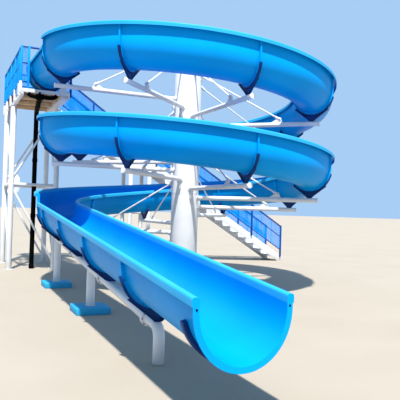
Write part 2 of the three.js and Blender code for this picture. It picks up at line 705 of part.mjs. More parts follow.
function addRailings() {
  const half = RAIL_SIZE / 2;
  const side = half + FIT;
  const left = DECK_LEFT - side;
  const right = DECK_RIGHT + side;
  const front = LEFT_POSTS[0];
  const top = DECK_TOP + RAIL_HEIGHT;
  const leftLine = LEFT_POSTS.map((y) => vec(left, y, DECK_TOP));
  const returnPost = block(
    RETURN_POST - half, RETURN_POST + half, front - half, front + half, DECK_TOP + FIT,
    top + POST_CAP,
  );
  const returnBars = [RAIL_HEIGHT, MID_RAIL, BOTTOM_RAIL].map((rise) => (
    squareBar(vec(left, front, DECK_TOP + rise), vec(RETURN_POST, front, DECK_TOP + rise), RAIL_SIZE * 0.6)
  ));
  const leftRailing = railing(leftLine, RAIL_HEIGHT, 90).add(join([returnPost, ...returnBars]));
  addPiece('left_railing', toGeometry(leftRailing), RAIL_BLUE);
  const rightLine = RIGHT_POSTS.map((y) => vec(right, y, DECK_TOP));
  const openBay = join([
    block(right - half, right + half, front - half, front + half, DECK_TOP - 90, top + POST_CAP),
    squareBar(vec(right, front, top), vec(right, RIGHT_POSTS[0], top), RAIL_SIZE - 3),
    pipe(vec(right, front, top), vec(RETURN_POST + half + FIT, front, top), half, 6),
  ]);
  addPiece('right_railing', toGeometry(railing(rightLine, RAIL_HEIGHT, 90).add(openBay)), RAIL_BLUE);
  const back = LANDING_BACK + side;
  const backEnds = [DECK_LEFT + 60, LANDING_RIGHT - 120].map((x) => vec(x, back, LANDING_TOP));
  const backLine = bays(...backEnds, 1);
  addPiece('back_railing', toGeometry(railing(backLine, STAIR_RAIL_HEIGHT, 50)), RAIL_BLUE);
}

function stairRailing(y) {
  const nosing = (x) => (x < midStart ? LANDING_TOP - pitch * (x - LANDING_RIGHT) : 0);
  const topX = LANDING_RIGHT + 40;
  const midLeft = midStart + 40;
  const midRight = lowerStart - 20;
  const endX = stairEnd - 60;
  const lowerZ = (x) => midTop - pitch * (x - lowerStart + 20);
  const line = [
    ...bays(vec(topX, y, nosing(topX) - 20), vec(midLeft, y, midTop), 2),
    vec(midRight, y, midTop),
    ...bays(vec(midRight, y, midTop), vec(endX, y, lowerZ(endX)), 4).slice(1),
  ];
  return toGeometry(railing(line, STAIR_RAIL_HEIGHT, 70));
}

function addStairRailings() {
  const side = STRINGER_THICKNESS / 2 + RAIL_SIZE / 2 + FIT;
  addPiece('stair_railing_near', stairRailing(STAIR_NEAR - side), RAIL_BLUE);
  addPiece('stair_railing_far', stairRailing(STAIR_FAR + side), RAIL_BLUE);
}

// Water pipe: up beside the tower, forward under the platform, and a tee with two upturned ends
function addWaterRiser() {
  const teeY = DECK_FRONT - TEE_FORWARD;
  const corner = vec(RISER_X, RISER_Y, RISER_TOP);
  const tee = vec(TEE_X, teeY, TEE_LEVEL);
  const forward = new THREE.Vector3().subVectors(tee, corner).normalize();
  const bend = new THREE.QuadraticBezierCurve3(
    corner.clone().setZ(RISER_TOP - RISER_BEND), corner, corner.clone().addScaledVector(forward, RISER_BEND),
  );
  const across = new THREE.Vector3().crossVectors(forward, vec(0, 0, 1)).normalize();
  const riser = tube([vec(RISER_X, RISER_Y, 0), ...bend.getPoints(5), tee], across, RISER_RADIUS, 8);
  const upturned = (x, inwards) => new THREE.QuadraticBezierCurve3(
    vec(x, teeY, TEE_LEVEL + TEE_TURN), vec(x + inwards * TEE_TURN, teeY, TEE_LEVEL),
    vec(x + inwards * 2.5 * TEE_TURN, teeY, TEE_LEVEL),
  ).getPoints(4);
  const ends = [...upturned(TEE_LEFT, 1), ...upturned(TEE_RIGHT, -1).reverse()];
  const branches = tube(ends, vec(0, 1, 0), RISER_RADIUS, 8);
  const half = HANGER_WIDTH / 2;
  const hanger = block(
    TEE_X - half, TEE_X + half, teeY - 15, DECK_FRONT - FIT, TEE_LEVEL + 20, DECK_TOP - 35,
  );
  addPiece('water_riser', toGeometry(join([riser, branches, hanger])), PIPE_BLACK);
}

addFlume();
addCoilSupports();
addColumn();
addRunSupport();
addTower();
addPlatform();
addStair();
addRailings();
addStairRailings();
addWaterRiser();

export default slide;
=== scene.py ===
# %% [markdown]
# The water slide tower is a blue flume that coils twice round a white column and runs out
# straight. A small timber deck on a steel tower leads into it. Every piece below is built over
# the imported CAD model, which gives the places, in metres with Z up.

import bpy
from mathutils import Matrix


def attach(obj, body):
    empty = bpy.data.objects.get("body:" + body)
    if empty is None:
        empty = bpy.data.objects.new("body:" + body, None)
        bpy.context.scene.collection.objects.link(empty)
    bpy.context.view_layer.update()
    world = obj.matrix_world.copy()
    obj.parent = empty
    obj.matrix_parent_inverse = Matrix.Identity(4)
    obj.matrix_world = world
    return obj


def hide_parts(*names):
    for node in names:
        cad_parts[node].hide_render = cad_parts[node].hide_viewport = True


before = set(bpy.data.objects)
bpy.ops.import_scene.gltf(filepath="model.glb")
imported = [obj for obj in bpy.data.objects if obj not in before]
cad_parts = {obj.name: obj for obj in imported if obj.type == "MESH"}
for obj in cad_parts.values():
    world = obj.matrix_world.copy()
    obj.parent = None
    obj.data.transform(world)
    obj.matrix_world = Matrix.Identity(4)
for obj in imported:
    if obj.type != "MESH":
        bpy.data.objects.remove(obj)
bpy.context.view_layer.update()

import math

import bmesh
import bpy
from mathutils import Matrix, Vector

# %% [markdown]
# Most of the tower is made of four simple kinds of shape: outlines drawn from ring to ring,
# plates cut from an outline, round tubes bent through points, and straight bars. Modelling each
# by hand would give the same result, but these few helpers keep the pieces exact and short.

# %% Rings and plates
def arc(u, v, radius, first, last, steps):
    """Points of a round corner, from one angle to another in degrees."""
    angles = [math.radians(first + (last - first) * i / steps) for i in range(steps + 1)]
    return [(u + radius * math.cos(a), v + radius * math.sin(a)) for a in angles]


def loft(rings):
    """Faces from ring to ring, and one over each end."""
    count = len(rings[0])
    verts = [Vector(point) for ring in rings for point in ring]
    faces = []
    for r in range(len(rings) - 1):
        for i in range(count):
            j = (i + 1) % count
            faces.append((r * count + i, r * count + j, (r + 1) * count + j, (r + 1) * count + i))
    faces.append(tuple(range(count))[::-1])
    faces.append(tuple(range(len(verts) - count, len(verts))))
    return verts, faces


def plate(outline, low, high, place=lambda u, v, w: (u, w, v)):
    """A plate from an outline in u and v, between two levels of w."""
    return loft([[place(u, v, w) for u, v in outline] for w in (low, high)])


def slab(x0, x1, y0, y1, z0, z1):
    """A straight block between two corners."""
    return plate([(x0, z0), (x1, z0), (x1, z1), (x0, z1)], y0, y1)


def block(x, y, half, low, high):
    """A square block round an upright line."""
    return slab(x - half, x + half, y - half, y + half, low, high)


print("faces of a block", len(block(0, 0, 1, 0, 1)[1]))

# %% [markdown]
# Tubes and bars follow a line. A tube keeps the same side up round a bend, because a section
# that turned on its way would twist it. A bar keeps two sides upright, as a welded hollow
# section does. A shape is then moved into place, or painted with another finish of its piece.

# %% Tubes and bars
def tube(points, radius, sides=24):
    """A round bar through points, turned as little as possible on its way."""
    path = [Vector(point) for point in points]
    ways = []
    for i in range(len(path)):
        ways.append((path[min(i + 1, len(path) - 1)] - path[max(i - 1, 0)]).normalized())
    across = ways[0].orthogonal().normalized()
    rings = []
    for point, way in zip(path, ways):
        across = (across - way * across.dot(way)).normalized()
        up = way.cross(across)
        ring = arc(0, 0, radius, 0, 360 - 360 / sides, sides - 1)
        rings.append([point + across * u + up * v for u, v in ring])
    return loft(rings)


def bend_between(a, b, c, steps):
    """Points of a smooth bend from a to c, drawn towards b."""
    shares = [i / steps for i in range(steps + 1)]
    return [a * (1 - t) ** 2 + b * 2 * t * (1 - t) + c * t ** 2 for t in shares]


def disc(radius, low, high, x=0.0, y=0.0, sides=64):
    """An upright cylinder."""
    return tube([(x, y, low), (x, y, high)], radius, sides)


CORNERS = [(-1, -1), (1, -1), (1, 1), (-1, 1)]


def bar(start, end, width, depth):
    """A straight bar with two upright sides."""
    start, end = Vector(start), Vector(end)
    way = (end - start).normalized()
    side = Vector((0, 0, 1)).cross(way).normalized()
    up = way.cross(side)
    return loft([[p + side * a * width / 2 + up * b * depth / 2 for a, b in CORNERS]
                 for p in (start, end)])


def moved(shapes, matrix):
    """The same shapes in another place."""
    return [([matrix @ Vector(v) for v in verts], faces, *slot) for verts, faces, *slot in shapes]


def painted(shape, slot):
    """The same shape with another material of its piece."""
    return shape[0], shape[1], slot


print("faces of a tube", len(disc(1, 0, 1)[1]))

# %% [markdown]
# Sheet metal, castings and boards never have knife edges: a small rounding catches the light.
# A Bevel modifier does that for a whole piece at once. It is made real straight away, so what is
# left is a plain mesh whose place lies in its vertices.

# %% Pieces
SHARP, BEVEL_ANGLE = 35, 40
STEEL_EDGE, FRAME_EDGE = 0.002, 0.003


def smoothed(piece):
    """Smooth round faces, with sharp edges wherever the mesh turns more."""
    piece.data.shade_smooth()
    piece.data.set_sharp_from_angle(angle=math.radians(SHARP))
    return piece


def made_real(piece):
    """Puts what the modifiers make in place of the mesh."""
    seen = piece.evaluated_get(bpy.context.evaluated_depsgraph_get())
    mesh = bpy.data.meshes.new_from_object(seen)
    piece.modifiers.clear()
    piece.data = mesh


def piece_of(name, shapes, materials, rounding=0.0):
    """One object out of closed shapes, with rounded edges and smooth round faces."""
    verts, faces, slots = [], [], []
    for points, polygons, *slot in shapes:
        start = len(verts)
        verts += points
        faces += [tuple(i + start for i in polygon) for polygon in polygons]
        slots += [slot[0] if slot else 0] * len(polygons)
    mesh = bpy.data.meshes.new(name)
    mesh.from_pydata(verts, [], faces)
    mesh.polygons.foreach_set("material_index", slots)
    for material in materials:
        mesh.materials.append(material)
    work = bmesh.new()
    work.from_mesh(mesh)
    bmesh.ops.recalc_face_normals(work, faces=work.faces)
    work.to_mesh(mesh)
    work.free()
    piece = bpy.data.objects.new(name, mesh)
    bpy.context.scene.collection.objects.link(piece)
    if rounding:
        edges = piece.modifiers.new("rounded_edges", "BEVEL")
        edges.width = rounding
        edges.segments = 2
        edges.limit_method = "ANGLE"
        edges.angle_limit = math.radians(BEVEL_ANGLE)
        made_real(piece)
    return smoothed(piece)


def fit(piece, slot, *nodes):
    """Hangs a piece on the frame and hides the CAD nodes it stands for."""
    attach(piece, "root")
    if nodes:
        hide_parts(*nodes)
    print(piece.name, "has", len(piece.data.polygons), "faces")


print("edges are rounded by", STEEL_EDGE, "or", FRAME_EDGE, "m")

# %% [markdown]
# Colours are written in sRGB hex and turned to the linear values that Cycles works with. One
# small function adds a node, sets it and links it. Two more give what every finish here has: a
# colour between two, and a surface whose roughness and relief each follow a pattern.

# %% Nodes
def colour(code):
    """Linear colour from sRGB hex."""
    parts = [int(code[i:i + 2], 16) / 255 for i in (0, 2, 4)]
    return (*[c / 12.92 if c <= 0.04045 else ((c + 0.055) / 1.055) ** 2.4 for c in parts], 1.0)


def add(tree, kind, links=None, **settings):
    """A node with its settings, its values and what it is linked from."""
    node = tree.nodes.new(kind)
    for key, value in settings.items():
        setattr(node, key, value)
    for socket, value in (links or {}).items():
        if isinstance(value, bpy.types.NodeSocket):
            tree.links.new(value, node.inputs[socket])
        else:
            node.inputs[socket].default_value = value
    return node


def made_by(tree, kind, links, **settings):
    """The first output of a new node."""
    return add(tree, kind, links, **settings).outputs[0]


def noise(tree, where, scale, detail):
    """A noise with a number of bumps per metre."""
    return made_by(tree, "ShaderNodeTexNoise", {"Vector": where, "Scale": scale, "Detail": detail})


def new_material(name):
    """A material, its tree, its shader and the object's own coordinates in metres."""
    material = bpy.data.materials.new(name)
    material.use_nodes = True
    tree = material.node_tree
    where = add(tree, "ShaderNodeTexCoord").outputs["Object"]
    return material, tree, tree.nodes["Principled BSDF"], where


def between_colours(tree, share, dark, light):
    """A mix of two colours. At a share of 0 it is the first."""
    return add(tree, "ShaderNodeMix", {
        "Factor": share, "A": dark, "B": light}, data_type="RGBA").outputs["Result"]


def tint(tree, pattern, dark, light):
    """The colour between two that a pattern asks for. A noise hardly leaves its middle, so only
    that part of it is used."""
    share = made_by(tree, "ShaderNodeMapRange", {
        "Value": pattern, "From Min": 0.3, "From Max": 0.7})
    return between_colours(tree, share, colour(dark), colour(light))


def surface(tree, shader, shade, gloss, roughness, relief, depth, strength):
    """Gives a shader its colour, a roughness after a pattern, and relief of a depth in metres."""
    rough = made_by(tree, "ShaderNodeMapRange", {
        "Value": gloss, "To Min": roughness[0], "To Max": roughness[1]})
    bump = made_by(tree, "ShaderNodeBump", {
        "Height": relief, "Distance": depth, "Strength": strength})
    for socket, value in (("Base Color", shade), ("Roughness", rough), ("Normal", bump)):
        tree.links.new(value, shader.inputs[socket])


print("middle grey in linear light", round(colour("808080")[0], 3))

# %% [markdown]
# Gelcoat is a smooth coloured resin skin, sprayed into a polished mould, that laminate is laid
# on. It could be one even blue, but the sun fades it in wide patches, so a slow noise moves it
# between two blues. The polished inside stays a little glossier and is painted a little darker,
# as painted shade, and the lip is painted palest, as a painted highlight of the sun it catches.

# %% Gelcoat
def gelcoat(name, dark, light, roughness):
    """Moulded gelcoat. To the eye: a deep even blue with soft patches about 1.1 m wide, a gloss
    that comes and goes over 70 mm, and a wave about 200 mm long in what it reflects. The
    reflection is weak, which keeps the blue deep in full sun."""
    material, tree, shader, where = new_material(name)
    fading = noise(tree, where, 0.9, 4)
    gloss = noise(tree, where, 14, 3)
    wave = noise(tree, where, 5, 2)
    surface(tree, shader, tint(tree, fading, dark, light), gloss,
            (roughness - 0.06, roughness + 0.08), wave, 0.003, 0.2)
    shader.inputs["Specular IOR Level"].default_value = 0.05
    shader.inputs["Coat Weight"].default_value = 0.02
    shader.inputs["Coat Roughness"].default_value = 0.2
    print(name, dark, light)
    return material


flume_blue = gelcoat("flume_gelcoat", "008CD8", "0098E4", 0.36)
# The inside copy is painted a little darker than the outside, as painted shade, and the lip copy
# paler, as a painted highlight of the sun it catches.
flume_inside_painted_shade = gelcoat("flume_gelcoat_inside_painted_shade", "0080CE", "008CDA", 0.3)
flume_lip_painted_highlight = gelcoat("flume_gelcoat_lip_painted_highlight", "2494C8", "2E9ED2", 0.34)

# %% [markdown]
# The steel carries several coats of white paint, put on with a roller. One flat colour would do
# from afar, but up close the paint has a fine orange peel, and dust settles on it, most of all
# near the ground, so the colour also follows the height. The saddles wear the same paint in navy,
# the railings in two blues, so one function makes all four.

# %% Paints
DUST, MOST_DUST = "A79C88", 0.45


def paint(name, base, dusty, roughness, dust_height=0.0):
    """Rolled enamel on steel. To the eye: clean and satin, faintly stained in patches of 330 mm,
    with a soft shine. The orange peel is drawn 4 mm across, twice its real size, which would be
    too fine to show."""
    material, tree, shader, where = new_material(name)
    stains = noise(tree, where, 3, 6)
    peel = noise(tree, where, 260, 2)
    shade = tint(tree, stains, dusty, base)
    if dust_height:
        level = add(tree, "ShaderNodeSeparateXYZ", {"Vector": where}).outputs["Z"]
        low = made_by(tree, "ShaderNodeMapRange", {
            "Value": level, "From Max": dust_height, "To Min": MOST_DUST, "To Max": 0.0})
        shade = between_colours(tree, low, shade, colour(DUST))
    surface(tree, shader, shade, stains, (roughness - 0.08, roughness + 0.1), peel, 0.0004, 0.4)
    shader.inputs["Specular IOR Level"].default_value = 0.15
    print(name, base, dusty)
    return material


white_steel = paint("painted_steel_white", "DCDEE0", "D0D2D4", 0.42, 0.3)
navy_paint = paint("saddle_paint_navy", "003878", "002A5C", 0.45)
mesh_blue = paint("railing_mesh_blue", "0096EC", "0088E0", 0.45)
rail_blue = paint("railing_paint_blue", "004690", "003A7A", 0.4)

# %% [markdown]
# Pins and anchor bolts are hot dip galvanised: steel drawn from molten zinc, which freezes in
# large flat crystals. A noise would only cloud the grey, but a cell pattern gives each crystal its
# own tone and its own gloss.

# %% Galvanised steel
def galvanised():
    """Zinc on steel. To the eye: a dull mottled grey, in crystals about 6 mm across."""
    material, tree, shader, where = new_material("galvanised_steel")
    cells = add(tree, "ShaderNodeTexVoronoi", {"Vector": where, "Scale": 180}).outputs["Color"]
    tone = made_by(tree, "ShaderNodeSeparateColor", {"Color": cells})
    fine = noise(tree, where, 400, 3)
    surface(tree, shader, tint(tree, tone, "8F9599", "B9BEC2"), tone, (0.32, 0.55),
            fine, 0.0002, 0.3)
    shader.inputs["Metallic"].default_value = 0.85
    return material


zinc = galvanised()
print(zinc.name, "made")

# %% [markdown]
# Deck boards and joists are sawn softwood that has weathered in the open. A picture of wood would
# repeat and show its seams, so the grain is a noise stretched along each board. Every board also
# gets its own share of grey, from an attribute that it carries, because no two weather alike.

# %% Softwood
MOST_GREY = 0.45


def boards(name, grain, dark="845428", light="B8804A"):
    """Sawn softwood. To the eye: warm brown fibres 17 mm apart and twenty times as long, and grey
    where weathered. Real fibres are about a third of that, too fine to show, so they are drawn
    coarser."""
    material, tree, shader, where = new_material(name)
    along = made_by(tree, "ShaderNodeMapping", {"Vector": where, "Scale": grain})
    fibres = noise(tree, along, 60, 8)
    board = add(tree, "ShaderNodeAttribute", attribute_name="board").outputs["Fac"]
    grey = made_by(tree, "ShaderNodeMapRange", {"Value": board, "To Max": MOST_GREY})
    shade = between_colours(tree, grey, tint(tree, fibres, dark, light),
                            tint(tree, fibres, "74624C", "A08A6C"))
    surface(tree, shader, shade, fibres, (0.65, 0.9), fibres, 0.0015, 0.7)
    print(name, dark, light)
    return material


ALONG_X, ALONG_Y = (0.05, 1, 1), (1, 0.05, 1)
deck_boards = boards("deck_boards", ALONG_Y)
landing_boards = boards("landing_boards", ALONG_X)
joist_timber = boards("joist_timber", ALONG_X, "C8AA82", "F0D6B0")

# %% [markdown]
# The footings are concrete, cast in a shutter and brushed with turquoise paint. The riser is
# extruded black polyethylene. Both are one plain colour when new, and wear and dust are what make
# them look real, so each has a patchy colour and a relief of its own.

# %% Concrete and pipe
def painted_concrete():
    """Brushed masonry paint. To the eye: matt turquoise, worn in patches of 140 mm over a cast
    surface whose pits are about 20 mm wide."""
    material, tree, shader, where = new_material("footing_paint_turquoise")
    worn = noise(tree, where, 7, 8)
    pits = noise(tree, where, 45, 6)
    surface(tree, shader, tint(tree, worn, "0C8AB8", "149CCA"), worn, (0.55, 0.8), pits, 0.003, 0.5)
    return material


def black_pipe():
    """Extruded polyethylene. To the eye: almost black, with dust in patches of 110 mm that takes
    its shine, and scuffs about 8 mm wide."""
    material, tree, shader, where = new_material("pipe_polyethylene_black")
    dust = noise(tree, where, 9, 5)
    scuffs = noise(tree, where, 120, 3)
    surface(tree, shader, tint(tree, dust, "030404", "0B0C0E"), dust, (0.6, 0.8),
            scuffs, 0.0005, 0.3)
    shader.inputs["Specular IOR Level"].default_value = 0.02
    return material


concrete, pipe_black = painted_concrete(), black_pipe()
print(concrete.name, pipe_black.name, "made")

# %% [markdown]
# The flume is bolted together from laminate sections: a round floor, two straight sides, a lip
# rolled outwards, and a flange at each end. The outer wall of the coil stands higher than the
# inner one. An outline swept along a curve would lean with the slope and could not widen into a
# flange, so each section is lofted from upright rings laid along its own path: round the column,
# in before it, or out after it.

# %% Flume path
TURN_RADIUS, PITCH, START_RIM = 2.633, 1.507, 4.631
COIL_SECTIONS, SECTION_ANGLE = 16, math.radians(45)
SECTION_LENGTH = TURN_RADIUS * SECTION_ANGLE
COIL_SLOPE = PITCH / (2 * math.pi * TURN_RADIUS)
ENTRY_SLOPE, RUN_SLOPE = 0.04, 0.088
RUN_RIM = START_RIM - 2 * PITCH
ENTRY_JOINTS = [0, 1.6, 2.3]
RUN_JOINTS = [0, 0.56, 2.15, 3.88, 5.63, 7.44]


def on_coil(u, v, along):
    """A place on the coil: u outwards from the middle of the flume, v up from its inner rim."""
    angle = math.pi + along / TURN_RADIUS
    reach = TURN_RADIUS + u
    return Vector((reach * math.cos(angle), reach * math.sin(angle),
                   START_RIM + v - COIL_SLOPE * along))


def on_entry(u, v, along):
    """The same on the straight that leads into the coil, measured back from the coil."""
    return Vector((-TURN_RADIUS - u, along, START_RIM + v + ENTRY_SLOPE * along))


def on_run(u, v, along):
    """The same on the straight run-out, measured on from the coil."""
    return Vector((-TURN_RADIUS - u, -along, RUN_RIM + v - RUN_SLOPE * along))


print("the coil is", round(COIL_SECTIONS * SECTION_LENGTH, 2), "m long")

# %% [markdown]
# Flume laminate is about 10 mm thick, and its free edge is rolled over into a lip, which makes
# the wall stiff. A Solidify modifier on one skin would thicken the lip wrongly at its corners, so
# both skins are drawn as one closed outline, and the hollow under the lip is a true recess.

# %% Flume outline
BOWL, BOWL_DEPTH, SHELL, SIDE = 0.375, 0.427, 0.010, 0.106
LIP_EDGE, LIP_DEPTH, LIP_WALL, LIP_ROLL = BOWL + 0.049, 0.07, 0.008, 0.022
LIP_TOP, OUTER_RISE, OUTER_REACH = 0.012, 0.171, 0.025
LIP_CORNER, BOWL_STEPS = 5, 48


def floor_arc(radius, first, last, steps):
    """Points on the rounded flume floor, or round it, which is deeper than half a circle."""
    deeper = (radius + BOWL_DEPTH - BOWL) / radius
    return [(u, v * deeper - SIDE) for u, v in arc(0, 0, radius, first, last, steps)]


def flume_outline(rise, out, roof):
    """Across the flume: u outwards from the column, v up from the inner rim. The wall stands out
    by out, and roof is how far below the rim the hollow under the lip ends."""
    inside, wall, hollow = BOWL - SHELL, BOWL + out, LIP_EDGE - LIP_WALL
    edge = LIP_EDGE + (OUTER_REACH if rise else 0)
    right, left = LIP_EDGE - LIP_ROLL, inside + LIP_ROLL
    return [
        (edge, rise - LIP_DEPTH),
        *arc(edge - LIP_ROLL, rise - LIP_ROLL, LIP_ROLL, 0, 90, LIP_CORNER),
        *arc(left, rise - LIP_ROLL, LIP_ROLL, 90, 180, LIP_CORNER),
        (inside, rise - LIP_DEPTH), *floor_arc(inside, 0, -180, BOWL_STEPS), (-inside, -LIP_DEPTH),
        *arc(-left, -LIP_ROLL, LIP_ROLL, 0, 90, LIP_CORNER),
        *arc(-right, -LIP_ROLL, LIP_ROLL, 90, 180, LIP_CORNER),
        (-LIP_EDGE, -LIP_DEPTH), (-hollow, -LIP_DEPTH), (-hollow, -roof), (-wall, -roof),
        *floor_arc(wall, -180, 0, BOWL_STEPS),
        (wall, rise - roof), (edge - LIP_WALL, rise - roof), (edge - LIP_WALL, rise - LIP_DEPTH),
    ]


print("points in the flume outline", len(flume_outline(0, 0, LIP_TOP)))

# %% [markdown]
# Sections come out of moulds, so they are alike, and they butt against each other flange to
# flange. The rings crowd together at both ends, where the wall steps out into a flange with
# softened edges. The faces are then sorted by their place in the outline: the polished inside is
# a little glossier and painted a little darker, as painted shade, and the lip, which catches
# most sun, is painted paler than the blue outside, as a painted highlight.

# %% Flume sections
JOINT_GAP = 0.0003
FLANGE, FLANGE_LENGTH, FLANGE_STEP, FLANGE_EDGE = 0.040, 0.012, 0.004, 0.002
FILLED_LIP = LIP_DEPTH - 0.001
LIP_FACES, INSIDE_FACES = 2 * LIP_CORNER + 3, BOWL_STEPS + 2
# Inside faces get the gelcoat copy painted darker, as painted shade; lip faces get the copy painted
# paler, as a painted highlight.
OUTSIDE, INSIDE, LIP = 0, 1, 2


def flume_section(name, node, lay, joints, rise, steps):
    """One section between two joints, with a flange at each end."""
    start, end = joints[0] + JOINT_GAP / 2, joints[1] - JOINT_GAP / 2
    flange = [(0, FLANGE - FLANGE_EDGE), (FLANGE_EDGE, FLANGE),
              (FLANGE_LENGTH - FLANGE_EDGE, FLANGE), (FLANGE_LENGTH, FLANGE - FLANGE_EDGE)]
    first, last = start + FLANGE_LENGTH + FLANGE_STEP, end - FLANGE_LENGTH - FLANGE_STEP
    stations = [(start + along, out, FILLED_LIP) for along, out in flange]
    stations += [(first + (last - first) * i / steps, 0, LIP_TOP) for i in range(steps + 1)]
    stations += [(end - along, out, FILLED_LIP) for along, out in reversed(flange)]
    rings = [[lay(u, v, along) for u, v in flume_outline(rise, out, roof)]
             for along, out, roof in stations]
    piece = piece_of(name, [loft(rings)], [flume_blue, flume_inside_painted_shade, flume_lip_painted_highlight])
    looks = [LIP] * LIP_FACES + [INSIDE] * INSIDE_FACES + [LIP] * LIP_FACES
    looks += [OUTSIDE] * (len(rings[0]) - len(looks))
    for number, polygon in enumerate(piece.data.polygons):
        if len(polygon.vertices) == 4:
            polygon.material_index = looks[number % len(looks)]
    fit(piece, "flume_gelcoat", node)


for i in range(COIL_SECTIONS):
    flume_section(f"flume_coil_{i + 1:02d}", f"coil_section_{i + 1:02d}", on_coil,
                  (i * SECTION_LENGTH, (i + 1) * SECTION_LENGTH), OUTER_RISE, 18)
flume_section("flume_entry", "entry_section", on_entry, ENTRY_JOINTS[:2], 0, 4)
flume_section("flume_start", "start_section", on_entry, ENTRY_JOINTS[1:], 0, 3)
for i in range(5):
    flume_section(f"flume_run_{i + 1}", f"run_section_{i + 1}", on_run, RUN_JOINTS[i:i + 2], 0, 4)

# %% [markdown]
# A saddle is a welded V under each flume joint: a web plate, a strap bent round the flange, and
# plates along the two lower edges that run together on a foot. It is drawn across the flume, as
# the outline is, so it follows the floor exactly, and it leans with the slope of the flume.

# %% Saddle
STRAP_INSIDE, STRAP_OUTSIDE, BELLY = BOWL + FLANGE + 0.001, BOWL + FLANGE + 0.024, 0.024
STRAP_END, EDGE_START = -15, -45
EDGE_END = -180 - EDGE_START
SADDLE_HALF, WEB_HALF, SADDLE_PLATE = 0.025, 0.007, 0.012
KNEE, FOOT_HALF = (0.09, -0.655), 0.04


def saddle(slope, foot, side):
    """Shapes of a saddle in a frame with X across, Y along and Z up from the rim."""
    def strip(outline, half=SADDLE_HALF):
        return plate(outline, -half, half, lambda u, v, w: Vector((side * u, w, v + slope * w)))

    inner = floor_arc(STRAP_INSIDE, STRAP_END, EDGE_END, 32)
    outer = floor_arc(STRAP_OUTSIDE, STRAP_END, EDGE_END, 32)
    belly = floor_arc(STRAP_OUTSIDE + BELLY, EDGE_START, EDGE_END, 1)
    right = [belly[0], KNEE, (FOOT_HALF, foot)]
    left = [(-u, v) for u, v in right]
    web = [*floor_arc(STRAP_INSIDE + 0.005, EDGE_START, EDGE_END, 20), *left, *reversed(right)]
    shapes = [strip([*inner, *reversed(outer)]), strip(web, WEB_HALF)]
    for edge, way in ((left, SADDLE_PLATE), (right, -SADDLE_PLATE)):
        within = [(u + way, v + SADDLE_PLATE * 0.7) for u, v in reversed(edge)]
        shapes.append(strip([*edge, *within]))
    low, high = foot, foot + SADDLE_PLATE
    shapes.append(strip([(-FOOT_HALF, low), (FOOT_HALF, low), (FOOT_HALF, high),
                         (-FOOT_HALF, high)]))
    return shapes


print("plates in a saddle", len(saddle(0, -0.8, 1)))

# %% [markdown]
# Sixteen arms stand out from the column, one under each joint of the coil. Each is a tube with a
# round end cap, a bracket under it and a tie rod above, pinned to a lug at either end. All are
# drawn along X once and then turned about the column, because they only differ in place.

# %% Arms
COLUMN_RADIUS, COLUMN_SKIN = 0.285, 0.275
ARM_LEVEL, ARM_RADIUS, ARM_REACH = OUTER_RISE - 0.920, 0.0445, 2.8
ROD_RADIUS, ROD_FOOT, HEAD_LEVEL = 0.015, 2.0, ARM_LEVEL + 1.08
LUG_HALF, LUG_ROUND, BRACKET_HALF, PIN_RADIUS, PIN_HALF = 0.008, 0.036, 0.02, 0.013, 0.034
WELDED_IN = 0.002


def arm_tube(start, end, radius):
    """A tube along X at the level of an arm."""
    return tube([(start, 0, ARM_LEVEL), (end, 0, ARM_LEVEL)], radius, 32)


def coil_arm():
    """Shapes of one arm, its bracket, its lugs and its tie rod."""
    top, out = ARM_LEVEL + ARM_RADIUS - 0.012, COLUMN_RADIUS + 0.06
    foot_pin = Vector((ROD_FOOT, 0, ARM_LEVEL + 0.11))
    head_pin = Vector((COLUMN_RADIUS + 0.03, 0, HEAD_LEVEL - 0.02))
    foot_lug = [(ROD_FOOT - 0.19, top), (ROD_FOOT + 0.07, top),
                *arc(ROD_FOOT, foot_pin.z, LUG_ROUND, -10, 130, 8)]
    head_lug = [(COLUMN_SKIN, HEAD_LEVEL - 0.11),
                *arc(head_pin.x + 0.02, head_pin.z - 0.01, LUG_ROUND, -60, 70, 8),
                (COLUMN_SKIN, HEAD_LEVEL + 0.06)]
    bracket = [(COLUMN_SKIN, ARM_LEVEL - 0.215), (out - 0.01, ARM_LEVEL - 0.215),
               (out, ARM_LEVEL - 0.2), (out, ARM_LEVEL - 0.02), (COLUMN_SKIN, ARM_LEVEL - 0.02)]
    shapes = [
        arm_tube(COLUMN_SKIN + WELDED_IN, ARM_REACH - 0.02, ARM_RADIUS),
        arm_tube(ARM_REACH - 0.022, ARM_REACH, ARM_RADIUS + 0.004),
        arm_tube(COLUMN_SKIN + WELDED_IN, COLUMN_RADIUS + 0.016, ARM_RADIUS + 0.02),
        plate(foot_lug, -LUG_HALF, LUG_HALF),
        plate(head_lug, -LUG_HALF, LUG_HALF),
        plate(bracket, -BRACKET_HALF, BRACKET_HALF),
        tube([foot_pin, head_pin], ROD_RADIUS, 16),
    ]
    way, across = (head_pin - foot_pin).normalized(), Vector((0, PIN_HALF, 0))
    for pin, turn in ((foot_pin, way), (head_pin, -way)):
        shapes.append(tube([pin - turn * 0.03, pin + turn * 0.1], 0.024, 16))
        shapes.append(painted(tube([pin - across, pin + across], PIN_RADIUS, 6), 1))
    return shapes


arm_shapes = coil_arm()
for i in range(COIL_SECTIONS):
    node = f"support_arm_{i + 1:02d}"
    turn = Matrix.Translation((0, 0, START_RIM - i * PITCH / 8)) @ Matrix.Rotation(
        math.pi + i * SECTION_ANGLE, 4, "Z")
    fit(piece_of(f"arm_{i + 1:02d}", moved(arm_shapes, turn), [white_steel, zinc], STEEL_EDGE),
        "painted_steel", node)
    slope = COIL_SLOPE if i else (COIL_SLOPE + ENTRY_SLOPE) / 2
    cradle = saddle(-slope, ARM_LEVEL + ARM_RADIUS - WELDED_IN, 1)
    place = turn @ Matrix.Translation((TURN_RADIUS, 0, 0))
    fit(piece_of(f"saddle_{i + 1:02d}", moved(cradle, place), [navy_paint], STEEL_EDGE),
        "painted_steel", node)

